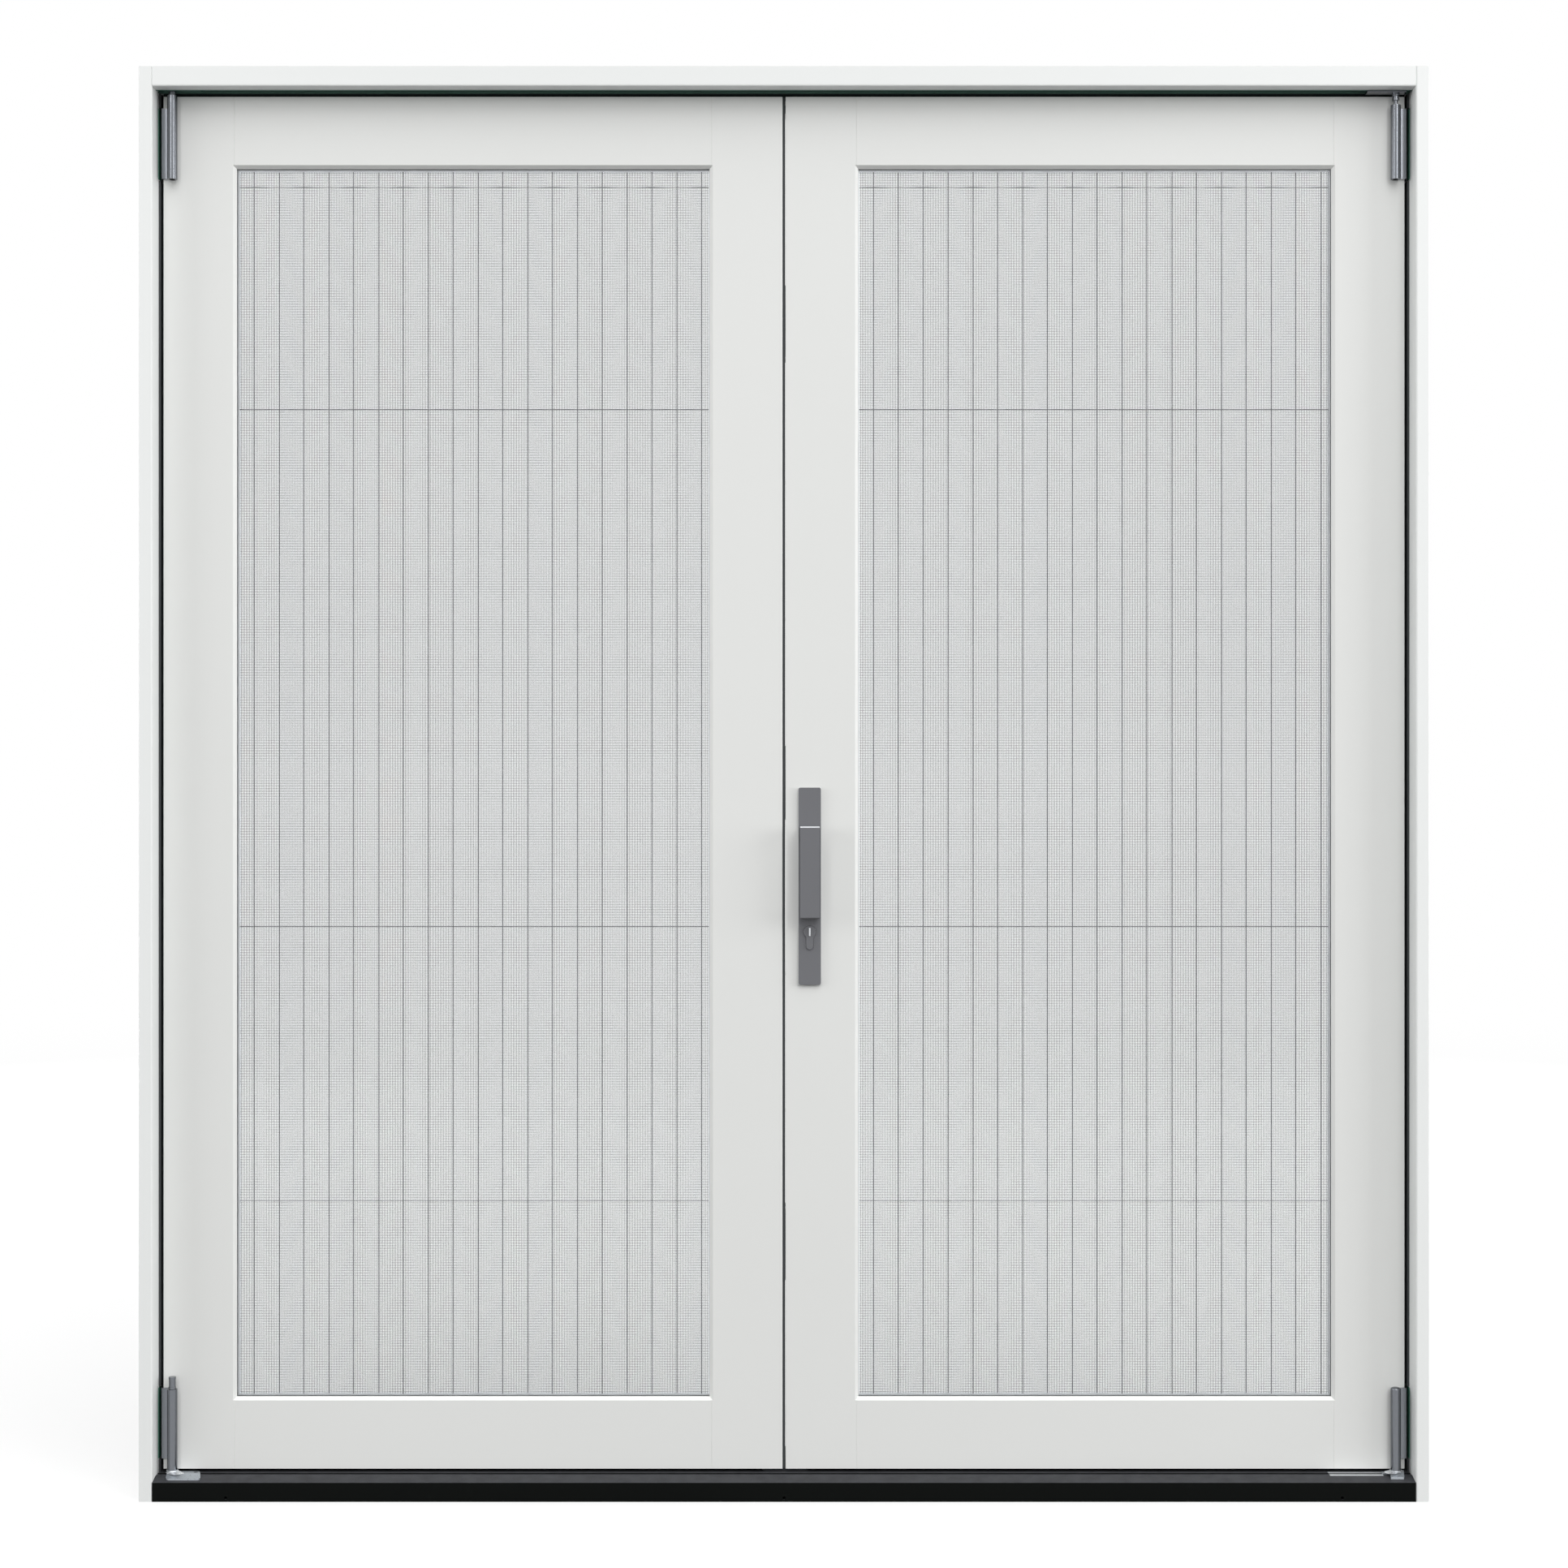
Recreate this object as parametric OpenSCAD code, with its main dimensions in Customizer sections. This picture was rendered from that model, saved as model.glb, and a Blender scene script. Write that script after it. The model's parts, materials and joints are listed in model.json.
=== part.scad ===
// Folding door: two glazed leaves that fold outwards, in a rebated frame with a low threshold.
// Millimetres. X runs along the opening, Y from the outside (-) to the inside (+), Z up.
// The origin is at the middle of the frame's underside.

/* [Frame] */
// Overall width of the frame
frame_w = 1780; // [1500:10:2000]
// Overall height of the frame
frame_h = 1980; // [1700:10:2200]
// Depth of the frame through the wall
frame_d = 115; // [96:1:160]
// Thickness of a jamb in front of its stop
jamb_t = 18.5; // [16:0.5:30]
// Thickness of the head in front of its stop
head_t = 27.7; // [26:0.1:40]
// How far the stops reach behind the leaves
stop_lap = 12; // [9:0.5:16]
// Space between the leaves and the stops
stop_gap = 4; // [3.5:0.1:8]
// Rounding of the frame's inner edges
frame_round = 2.5; // [1:0.5:4]
// Diameter of the fixing holes in the jambs
fixing_hole_d = 10; // [6:0.5:12]
// Distance of the outer fixing holes from the frame's ends
fixing_end = 200; // [150:10:300]
// Distance between the inner pair of fixing holes
fixing_pair = 520; // [300:10:700]

/* [Threshold] */
// Height of the threshold's front face
sill_front_h = 26.3; // [24:0.1:30]
// Height of the threshold's top
sill_top_h = 31; // [30:0.5:36]
// Depth of the sloping front part of the threshold
sill_slope_d = 20; // [16:1:22]
// Wall of the threshold profile
sill_wall = 2.5; // [2:0.1:3]
// Diameter of the weep holes
weep_d = 4; // [3:0.5:5]
// Distance of the outer weep holes from the jambs
weep_end = 101.5; // [60:0.5:300]

/* [Leaves] */
// Distance of the leaves' outer face in front of the middle of the frame's depth
leaf_set = 19.5; // [15:0.5:21]
// Thickness of a leaf
leaf_t = 44; // [42:1:56]
// Gap between a leaf and its jamb
side_gap = 6.5; // [6.3:0.1:9]
// Gap between the leaves and the head
top_gap = 4.7; // [4.5:0.1:7]
// Gap between the leaves and the threshold
bottom_gap = 4.9; // [4.7:0.1:8]
// Gap between the two leaves
mid_gap = 4.2; // [4:0.1:6]
// Width of a stile's face
stile_w = 97; // [90:1:120]
// Width of a rail's face
rail_w = 95; // [90:1:140]
// Rounding of a leaf's long edges
leaf_round = 1.2; // [0.5:0.1:2]
// Length of a rail's tenons
tenon_l = 36; // [20:1:45]
// Thickness of a rail's tenons
tenon_t = 14; // [10:1:16]

/* [Glazing] */
// Chamfer round the glass on the outside
chamfer = 4.6; // [2:0.1:6]
// Straight lip behind the chamfer
lip = 1.4; // [1:0.1:3]
// Width of the glazing rebate
rebate_w = 14; // [12:0.5:16]
// Cover of the glass edge by the lip
glass_cover = 11; // [9:0.5:11]
// Thickness of a pane
pane_t = 4; // [3:0.5:4]
// Cavity between the panes
cavity = 16; // [12:1:16]
// Thickness of the glazing seals
glazing_seal_t = 1; // [0.8:0.1:1.5]
// Width of the spacer bar's face
spacer_w = 9.5; // [7:0.5:12]
// Distance between the folds of the pleated screen
fold_pitch = 34.8; // [20:0.1:60]
// Depth of the pleats
fold_d = 4; // [1:0.5:8]
// Thickness of the fold wires and the cords
wire_t = 0.9; // [0.6:0.1:2]
// Heights of the lower cords above the glass's lower edge in view
cord_low = [270.6, 654.8];
// Distances of the upper cords below the glass's upper edge in view
cord_high = [333.8, 22.6];

/* [Pivot hinges] */
// Distance of the pivot axes from the leaves' outer edges
axis_inset = 14.5; // [14:0.1:16]
// Distance of the pivot axes in front of the leaves
axis_proud = 8.5; // [8.2:0.1:10]
// Diameter of a hinge barrel
barrel_d = 14; // [12:0.5:14]
// Diameter of a pivot pin
pin_d = 8; // [6:0.5:9]
// Diameter of the collars on the pins
collar_d = 10; // [9.5:0.1:11]
// Length of a hinge barrel
barrel_l = 103; // [80:1:130]
// Length of a hinge plate
plate_l = 98; // [60:1:98]
// Thickness of the hinge plates on the leaf edges
flange_t = 1.6; // [1:0.1:1.8]
// Depth of the hinge plates on the leaf edges
flange_d = 30; // [20:1:36]
// Thickness of the packers on the jambs
packer_t = 1; // [0.6:0.1:1]

/* [Mid hinges] */
// Distance of the mid hinge axis behind the leaves
mid_proud = 5.5; // [5.4:0.1:6]
// Diameter of the mid hinge knuckles
knuckle_d = 10; // [9:0.1:10.2]
// Diameter of the mid hinge pins
mid_pin_d = 5; // [4:0.5:6]
// Length of a mid hinge
mid_hinge_l = 100; // [80:5:120]
// Distance of the outer mid hinges from the leaf ends
mid_hinge_end = 260; // [180:10:350]

/* [Handle and lock] */
// Distance of the handle's centre line from the leaf edge
backset = 33.7; // [30:0.1:36]
// Width of the handle plates
handle_w = 31; // [28:0.5:34]
// Length of the outside handle plate
handle_l = 274.4; // [260:1:300]
// Height of the handle plate's lower end above the leaf's lower edge
handle_low = 674.7; // [500:0.1:900]
// Height of the lock cylinder above the plate's lower end
cylinder_up = 73.6; // [60:0.1:80]
// Height of the inside lever above the lock cylinder
lever_up = 115; // [92:1:130]
// Length of the pull grip
grip_l = 127.4; // [110:0.1:140]
// Height of the pull grip's lower end above the plate's lower end
grip_up = 93; // [90:0.5:110]
// Space for the fingers behind the pull grip
grip_space = 14; // [10:0.5:16]
// Travel of the shoot bolts
bolt_travel = 20; // [12:1:20]

/* [Tracks] */
// Width of the top track
track_w = 21.6; // [21:0.1:24]
// Height of the top track
track_h = 20; // [19:0.5:21]
// Width of the slot in the top track
track_slot = 9; // [8:0.1:9]
// Diameter of the trolley wheels
wheel_d = 12; // [10:0.5:12]
// Width of the slot in the bottom track
guide_slot = 5; // [4.8:0.1:6]
// Diameter of the guide roller
roller_d = 12; // [10:0.5:12]
// Length of the trolley
trolley_l = 54; // [50:1:60]
// Length of the silver rails in the bottom track
insert_l = 74; // [50:1:120]

/* [Hidden] */
$fn = 48;

// Overshoot of a cutter past the face that it cuts
over = 1;
// Radial clearance of a pin or shaft in its bore
running = 0.05;
// Clearance between flat faces that slide past each other
slide = 0.3;
// Clearance in a glued joint, such as a tenon in its mortice
glue = 0.1;

// Planes of the frame and the leaves
y_front = -frame_d/2;
y_back = frame_d/2;
leaf_y0 = -leaf_set;
leaf_y1 = leaf_y0 + leaf_t;
leaf_ym = (leaf_y0 + leaf_y1)/2;
y_stop = leaf_y1 + stop_gap;
x_side = frame_w/2;
x_jamb = x_side - jamb_t;
leaf_out = x_jamb - side_gap;
leaf_in = mid_gap/2;
x_stop = leaf_out - stop_lap;
z_soffit = frame_h - head_t;
leaf_z0 = sill_top_h + bottom_gap;
leaf_z1 = z_soffit - top_gap;
z_head_stop = leaf_z1 - stop_lap;
z_sill_stop = leaf_z0 + stop_lap;

// Edges of the glazed opening of the right leaf: at the face, in view and in the rebate
face_x = [leaf_in + stile_w, leaf_out - stile_w];
face_z = [leaf_z0 + rail_w, leaf_z1 - rail_w];
sight_x = [face_x[0] + chamfer, face_x[1] - chamfer];
sight_z = [face_z[0] + chamfer, face_z[1] - chamfer];
rebate_x = [sight_x[0] - rebate_w, sight_x[1] + rebate_w];
rebate_z = [sight_z[0] - rebate_w, sight_z[1] + rebate_w];
glass_x = [sight_x[0] - glass_cover, sight_x[1] + glass_cover];
glass_z = [sight_z[0] - glass_cover, sight_z[1] + glass_cover];
// Setback of the rails' shoulders from the edges in view
shoulder_set = 2.6;
shoulder_x = [sight_x[0] - shoulder_set, sight_x[1] + shoulder_set];

// Depths of the glazing, from the outside to the inside
y_rebate = leaf_y0 + chamfer + lip;
y_pane1 = y_rebate + glazing_seal_t;
y_cavity = y_pane1 + pane_t;
y_pane2 = y_cavity + cavity;
y_bead_seal = y_pane2 + pane_t;
y_bead = y_bead_seal + glazing_seal_t;
// Slope of a bead's inner edge, gap at its mitres, and gap between a setting block and the glass
bead_slope = 4;
bead_joint = 0.1;
block_gap = 0.2;
// Spacer bar: inset of its outer edge from the glass edge
spacer_set = 3;
spacer_x = [glass_x[0] + spacer_set + spacer_w, glass_x[1] - spacer_set - spacer_w];
spacer_z = [glass_z[0] + spacer_set + spacer_w, glass_z[1] - spacer_set - spacer_w];
// Sideways shift of the folds in both leaves, least space beside the outer ones, and their number
fold_shift = 5;
fold_edge = 12;
fold_count = floor((spacer_x[1] - spacer_x[0] - 2*fold_edge)/fold_pitch) + 1;

// Pivot axes at the outer edges, and the mid hinge axis
axis_x = leaf_out - axis_inset;
axis_y = leaf_y0 - axis_proud;
mid_y = leaf_y1 + mid_proud;
barrel_r = barrel_d/2;
pin_r = pin_d/2;
bore_r = pin_r + running;
collar_r = collar_d/2;
// Hinge plate on a leaf's face, under the barrel
face_plate_t = 3;
// Heights of the barrels
left_top_barrel = [leaf_z1 - 1 - barrel_l - 13, leaf_z1 - 1];
right_top_barrel = [leaf_z1 - 14 - barrel_l, leaf_z1 - 14];
bottom_barrel = [leaf_z0 + 5, leaf_z0 + 5 + barrel_l + 5];

// Lock and handle places
handle_x = leaf_in + backset;
handle_z0 = leaf_z0 + handle_low;
handle_z1 = handle_z0 + handle_l;
cylinder_z = handle_z0 + cylinder_up;
grip_z0 = handle_z0 + grip_up;
grip_z1 = grip_z0 + grip_l;
lever_z = cylinder_z + lever_up;

// Helpers: a box between corners, sections drawn across an axis, and round bars
module bar(x, y, z) translate([x[0], y[0], z[0]]) cube([x[1] - x[0], y[1] - y[0], z[1] - z[0]]);
module along_z(z) translate([0, 0, z[0]]) linear_extrude(z[1] - z[0]) children();
module along_x(x) translate([x[0], 0, 0]) rotate([90, 0, 90]) linear_extrude(x[1] - x[0]) children();
module along_y(y) translate([0, y[1], 0]) rotate([90, 0, 0]) linear_extrude(y[1] - y[0]) children();
module rod_z(x, y, r, z) translate([x, y, z[0]]) cylinder(r = r, h = z[1] - z[0]);
module rod_y(x, z, r, y) translate([x, y[0], z]) rotate([-90, 0, 0]) cylinder(r = r, h = y[1] - y[0]);
module rod_x(y, z, r, x) translate([x[0], y, z]) rotate([0, 90, 0]) cylinder(r = r, h = x[1] - x[0]);
module on_left() mirror([1, 0, 0]) children();

// What rounding removes at a section's corner; sx and sy point into the material
module arris_cut(at, sx, sy, r)
    translate(at) mirror([sx < 0 ? 1 : 0, 0]) mirror([0, sy < 0 ? 1 : 0])
        difference() {
            translate([-over, -over]) square(r + over);
            translate([r, r]) circle(r);
        }

// Frame

module jamb_section() difference() {
    translate([x_jamb, y_front]) square([jamb_t, frame_d]);
    arris_cut([x_jamb, y_front], 1, 1, frame_round);
    arris_cut([x_side, y_front], -1, 1, frame_round/2);
}

fixing_y = (y_stop + y_back)/2;
fixing_z = [fixing_end, frame_h/2 - fixing_pair/2, frame_h/2 + fixing_pair/2, frame_h - fixing_end];

module fixing_holes()
    for (z = fixing_z) rod_x(fixing_y, z, fixing_hole_d/2, [x_stop - over, x_side + over]);
module jamb() color("white") difference() {
    along_z([0, frame_h]) jamb_section();
    fixing_holes();
}
module left_jamb() on_left() jamb();
module right_jamb() jamb();

// Stops: strips on the jambs and the head that the leaves close against
module jamb_stop() difference() {
    along_z([0, z_soffit]) difference() {
        translate([x_stop, y_stop]) square([x_jamb - x_stop, y_back - y_stop]);
        arris_cut([x_stop, y_back], 1, -1, frame_round);
    }
    fixing_holes();
}
module frame_stops() color("white") {
    jamb_stop();
    on_left() jamb_stop();
    along_x([-x_stop + glue, x_stop - glue]) difference() {
        translate([y_stop, z_head_stop]) square([y_back - y_stop, z_soffit - z_head_stop]);
        arris_cut([y_back, z_head_stop], -1, 1, frame_round);
    }
}

// The top track's place in the head
track_y = [axis_y - track_w/2, axis_y + track_w/2];
track_z = [z_soffit, z_soffit + track_h];
track_wall = 1.6;
track_lip = 2;

// Shoot bolts: bars in a groove behind the faceplate
bolt_w = 10;
bolt_t = 2.5;
faceplate_t = 2;
faceplate_w = 16;
faceplate_y = [leaf_ym - faceplate_w/2, leaf_ym + faceplate_w/2];
bolt_x0 = leaf_in + faceplate_t + slide;
bolt_x = [bolt_x0, bolt_x0 + bolt_t];
bolt_y = [leaf_ym - bolt_w/2, leaf_ym + bolt_w/2];
bolt_end_set = 1.6;
keeper_clear = 1;
keeper_t = 2;
keeper_l = 60;
keeper_w = 22;
keeper_x = [bolt_x[0] - keeper_clear, bolt_x[1] + keeper_clear];
keeper_y = [bolt_y[0] - keeper_clear, bolt_y[1] + keeper_clear];
keeper_z = [sill_top_h + keeper_t, z_soffit - keeper_t];
bolt_reach = bolt_travel + over;

module head() color("white") difference() {
    along_x([-x_jamb, x_jamb]) difference() {
        translate([y_front, z_soffit]) square([frame_d, head_t]);
        arris_cut([y_front, z_soffit], 1, 1, frame_round);
    }
    bar([-x_side, x_side], track_y, [track_z[0] - over, track_z[1]]);
    bar(keeper_x, keeper_y, [z_soffit - over, z_soffit + bolt_reach - top_gap]);
}

// Bottom track: a slot in the threshold's top with a wider channel for the roller below it
channel_w = roller_d + 1.4;
channel_z = [sill_top_h - 15, sill_top_h - 3];
slot_y = [axis_y - guide_slot/2, axis_y + guide_slot/2];
channel_y = [axis_y - channel_w/2, axis_y + channel_w/2];
insert_w = 20;
insert_h = 7;
insert_x = [axis_x - 19 - insert_l, axis_x - 19];
insert_y = [axis_y - insert_w/2, axis_y + insert_w/2];
sill_y_slope = y_front + sill_slope_d;
chamber_front = [y_front + sill_wall, insert_y[0] - sill_wall];
chamber_back = [insert_y[1] + sill_wall, y_stop - sill_wall];
chamber_z = [sill_wall, sill_front_h - sill_wall];
weep_z = sill_wall + weep_d/2 + 0.9;
weep_x = x_jamb - weep_end;

module bottom_slot(x) {
    bar(x, slot_y, [channel_z[1] - over, sill_top_h + over]);
    bar(x, channel_y, channel_z);
}

module sill() color("#161817") difference() {
    along_x([-x_jamb, x_jamb]) difference() {
        polygon([
            [y_front, 0], [y_stop, 0], [y_stop, sill_top_h],
            [sill_y_slope, sill_top_h], [y_front, sill_front_h]
        ]);
        for (c = [chamber_front, chamber_back])
            translate([c[0], chamber_z[0]]) square([c[1] - c[0], chamber_z[1] - chamber_z[0]]);
    }
    bottom_slot([-x_side, x_side]);
    bar(insert_x, insert_y, [sill_top_h - insert_h, sill_top_h + over]);
    for (x = [-weep_x, 0, weep_x]) rod_y(x, weep_z, weep_d/2, [y_front - over, chamber_front[0] + over]);
    bar(keeper_x, keeper_y, [chamber_z[1] - over, sill_top_h + over]);
}

module sill_stop() color("#202322") along_x([-x_stop, x_stop]) difference() {
    translate([y_stop, 0]) square([y_back - y_stop, z_sill_stop]);
    arris_cut([y_back, z_sill_stop], -1, -1, frame_round);
    arris_cut([y_stop, z_sill_stop], 1, -1, frame_round/2);
}

module top_track() color("#2c3834") difference() {
    bar([-x_jamb, x_jamb], track_y, track_z);
    bar([-x_side, x_side], [track_y[0] + track_wall, track_y[1] - track_wall],
        [track_z[0] + track_lip, track_z[1] - track_wall]);
    bar([-x_side, x_side], [axis_y - track_slot/2, axis_y + track_slot/2],
        [track_z[0] - over, track_z[0] + track_lip + over]);
}

module track_inserts() color("silver") difference() {
    bar(insert_x, insert_y, [sill_top_h - insert_h, sill_top_h]);
    bottom_slot([insert_x[0] - over, insert_x[1] + over]);
}

// Seals in the rebates: one leg on the frame's inner face, one on the stop
seal_leg_t = 2.5;
seal_leg_d = 14;
// Space above and below the hinge plates, where the leg is cut back from the leaf's outer face
seal_cut = 2;
seal_lip_t = stop_gap - 2.3;
seal_lip_w = stop_lap - 2;

// Section in the corner of a rebate; u runs away from the frame's face, v away from the stop
module seal_section() polygon([
    [0, 0], [side_gap + seal_lip_w, 0], [side_gap + seal_lip_w, seal_lip_t],
    [seal_leg_t, seal_lip_t], [seal_leg_t, seal_leg_d], [0, seal_leg_d]
]);

plate_top_set = 17;
plate_bottom_set = 10;
hinge_plate_top = [leaf_z1 - plate_top_set - plate_l, leaf_z1 - plate_top_set];
hinge_plate_bottom = [bottom_barrel[0] + plate_bottom_set, bottom_barrel[0] + plate_bottom_set + plate_l];
packer_y = [leaf_y0 - face_plate_t, leaf_y0 + flange_d - 20];

module hinge_packers() color("#24483a")
    for (m = [0, 1]) mirror([m, 0, 0])
        for (z = [hinge_plate_top, hinge_plate_bottom])
            bar([x_jamb - packer_t, x_jamb], packer_y, z);

module frame_seals() color("#202020") {
    for (m = [0, 1]) mirror([m, 0, 0]) {
        along_z([z_sill_stop, z_head_stop]) translate([x_jamb, y_stop]) rotate(180) seal_section();
        for (z = [
            [sill_top_h, hinge_plate_bottom[0] - seal_cut],
            [hinge_plate_bottom[1] + seal_cut, hinge_plate_top[0] - seal_cut],
            [hinge_plate_top[1] + seal_cut, z_soffit]
        ])
            bar([x_jamb - seal_leg_t, x_jamb], [leaf_y0, y_stop - seal_leg_d/2], z);
    }
    along_x([-x_stop, x_stop]) translate([y_stop - seal_lip_t, z_head_stop + 1])
        square([seal_lip_t, leaf_z1 - z_head_stop - 1]);
    along_x([-x_stop, x_stop]) translate([y_stop - seal_lip_t, leaf_z0])
        square([seal_lip_t, z_sill_stop - leaf_z0 - 1]);
}

// Fixed pivots of the left leaf

pivot_l = 48;
pivot_plate_t = 2.2;
pivot_x = [-axis_x - 7, -axis_x - 7 + pivot_l];
pivot_front = y_front + 6.6;
pivot_back = leaf_y0 - 2;
slope = (sill_top_h - sill_front_h)/sill_slope_d;
foot_r = 7;
screw_r = 3.2;
screw_shank_r = 2;
screw_inset = 8;
pivot_screw = [pivot_x[1] - screw_inset, axis_y];

// Section of a plate that lies on the threshold's slope and top
module sill_plate_section(front, back, gap, t) polygon([
    [front, sill_top_h - (sill_y_slope - front)*slope + gap], [sill_y_slope, sill_top_h + gap],
    [back, sill_top_h + gap], [back, sill_top_h + gap + t], [sill_y_slope, sill_top_h + gap + t],
    [front, sill_top_h - (sill_y_slope - front)*slope + gap + t]
]);

module floor_pivot() color("silver") difference() {
    union() {
        along_x(pivot_x) sill_plate_section(pivot_front, pivot_back, 0, pivot_plate_t);
        translate([-axis_x, axis_y, sill_top_h])
            cylinder(r1 = foot_r, r2 = collar_r + 0.4, h = bottom_barrel[0] - slide - sill_top_h);
    }
    rod_z(-axis_x, axis_y, pin_r, [sill_top_h + over, bottom_barrel[0] + over]);
    translate([pivot_screw[0], pivot_screw[1], sill_top_h - over]) cylinder(r = screw_shank_r, h = 10);
}

head_pivot_h = 12;
spigot_r = 3.4;
module head_pivot() color("#33403b") difference() {
    bar([-axis_x - 12, -axis_x + 38], [track_y[0] + track_wall + slide, track_y[1] - track_wall - slide],
        [track_z[0] + track_lip, track_z[0] + track_lip + head_pivot_h]);
    rod_z(-axis_x, axis_y, spigot_r, [track_z[0], track_z[0] + track_lip + head_pivot_h - 2]);
}

module top_pin() {
    rod_z(-axis_x, axis_y, pin_r, [left_top_barrel[0] + 6, left_top_barrel[1] + over]);
    rod_z(-axis_x, axis_y, collar_r, [left_top_barrel[1] + slide, z_soffit - slide]);
    rod_z(-axis_x, axis_y, spigot_r, [z_soffit - over, track_z[0] + track_lip + head_pivot_h - 2]);
}

pin_head_l = 17;
pin_flange_h = 3;
module bottom_pin() {
    rod_z(-axis_x, axis_y, pin_r, [sill_top_h + over, bottom_barrel[1] + over]);
    rod_z(-axis_x, axis_y, pin_r + 0.6, [bottom_barrel[1] + slide, bottom_barrel[1] + pin_head_l]);
    for (z = [bottom_barrel[1] + slide, bottom_barrel[1] + pin_head_l - pin_flange_h])
        rod_z(-axis_x, axis_y, collar_r, [z, z + pin_flange_h]);
}
module left_pivot_pins() color("silver") {
    top_pin();
    bottom_pin();
}

module keeper_plate(z) difference() {
    bar([leaf_in - keeper_l/2, leaf_in + keeper_l/2], [leaf_ym - keeper_w/2, leaf_ym + keeper_w/2], z);
    bar(keeper_x, keeper_y, [z[0] - over, z[1] + over]);
    for (s = [-1, 1])
        rod_z(leaf_in + s*(keeper_l/2 - screw_inset), leaf_ym, screw_shank_r, [z[0] - over, z[1] + over]);
}
module bolt_keepers() color("silver") {
    keeper_plate([sill_top_h, keeper_z[0]]);
    keeper_plate([keeper_z[1], z_soffit]);
}

screw_head_t = 1;
module screw(x, y, z, up) translate([x, y, z]) mirror([0, 0, up ? 0 : 1]) {
    cylinder(r = screw_r, h = screw_head_t);
    translate([0, 0, -keeper_t]) cylinder(r = screw_shank_r, h = keeper_t + screw_head_t);
}
module plate_screws() color("#9a9a9a") {
    screw(pivot_screw[0], pivot_screw[1], sill_top_h + pivot_plate_t, true);
    for (s = [-1, 1]) {
        screw(leaf_in + s*(keeper_l/2 - screw_inset), leaf_ym, keeper_z[0], true);
        screw(leaf_in + s*(keeper_l/2 - screw_inset), leaf_ym, keeper_z[1], false);
    }
}

// Leaves, drawn as the right one; the left one is its mirror image

module glazing_cut() {
    intersection() {
        along_z([leaf_z0, leaf_z1]) polygon([
            [face_x[0] - over, leaf_y0 - over], [face_x[1] + over, leaf_y0 - over],
            [sight_x[1], leaf_y0 + chamfer], [sight_x[0], leaf_y0 + chamfer]
        ]);
        along_x([leaf_in, leaf_out]) polygon([
            [leaf_y0 - over, face_z[0] - over], [leaf_y0 - over, face_z[1] + over],
            [leaf_y0 + chamfer, sight_z[1]], [leaf_y0 + chamfer, sight_z[0]]
        ]);
    }
    bar(sight_x, [leaf_y0, leaf_y1 + over], sight_z);
    bar(rebate_x, [y_rebate, leaf_y1 + over], rebate_z);
}

// Tenons: set in from the rail's edges, and the same with clearance for the mortices
tenon_set = 18;
low_tenon_z = [leaf_z0 + tenon_set, rebate_z[0] - tenon_set/2];
high_tenon_z = [rebate_z[1] + tenon_set/2, leaf_z1 - tenon_set];
module tenons(z, c) {
    y = [leaf_ym - tenon_t/2 - c, leaf_ym + tenon_t/2 + c];
    bar([shoulder_x[0] - tenon_l - c, shoulder_x[0] + over], y, [z[0] - c, z[1] + c]);
    bar([shoulder_x[1] - over, shoulder_x[1] + tenon_l + c], y, [z[0] - c, z[1] + c]);
}
module mortices() {
    tenons(low_tenon_z, glue);
    tenons(high_tenon_z, glue);
}

// Fine V grooves on both faces, where the rails' shoulders meet the stiles
joint_v = 0.5;
module joint_grooves()
    for (x = shoulder_x) for (y = [leaf_y0, leaf_y1])
        for (z = [[leaf_z0 - over, face_z[0] + over], [face_z[1] - over, leaf_z1 + over]])
            along_z(z) translate([x, y])
                polygon([[-joint_v, 0], [0, -joint_v], [joint_v, 0], [0, joint_v]]);

// Stile section with rounded edges on the side away from the glass; s is the glass side's direction
module stile_section(x, s) difference() {
    translate([x[0], leaf_y0]) square([x[1] - x[0], leaf_t]);
    for (v = [[leaf_y0, 1], [leaf_y1, -1]]) arris_cut([s > 0 ? x[0] : x[1], v[0]], s, v[1], leaf_round);
}

module hinge_stile() color("#f1f3f2") difference() {
    union() {
        along_z([leaf_z0, leaf_z1]) stile_section([shoulder_x[1], leaf_out], -1);
        bar([sight_x[1], shoulder_x[1] + over], [leaf_y0, leaf_y1], sight_z);
    }
    glazing_cut();
    mortices();
    joint_grooves();
}

module meeting_stile() color("#f1f3f2") difference() {
    union() {
        along_z([leaf_z0, leaf_z1]) stile_section([leaf_in, shoulder_x[0]], 1);
        bar([shoulder_x[0] - over, sight_x[0]], [leaf_y0, leaf_y1], sight_z);
    }
    glazing_cut();
    mortices();
    joint_grooves();
}

module rail(z, tenon_z) color("#f1f3f2") {
    difference() {
        bar(shoulder_x, [leaf_y0, leaf_y1], z);
        glazing_cut();
        joint_grooves();
    }
    tenons(tenon_z, 0);
}
module top_rail() rail([sight_z[1], leaf_z1], high_tenon_z);
module bottom_rail() rail([leaf_z0, sight_z[0]], low_tenon_z);

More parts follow.
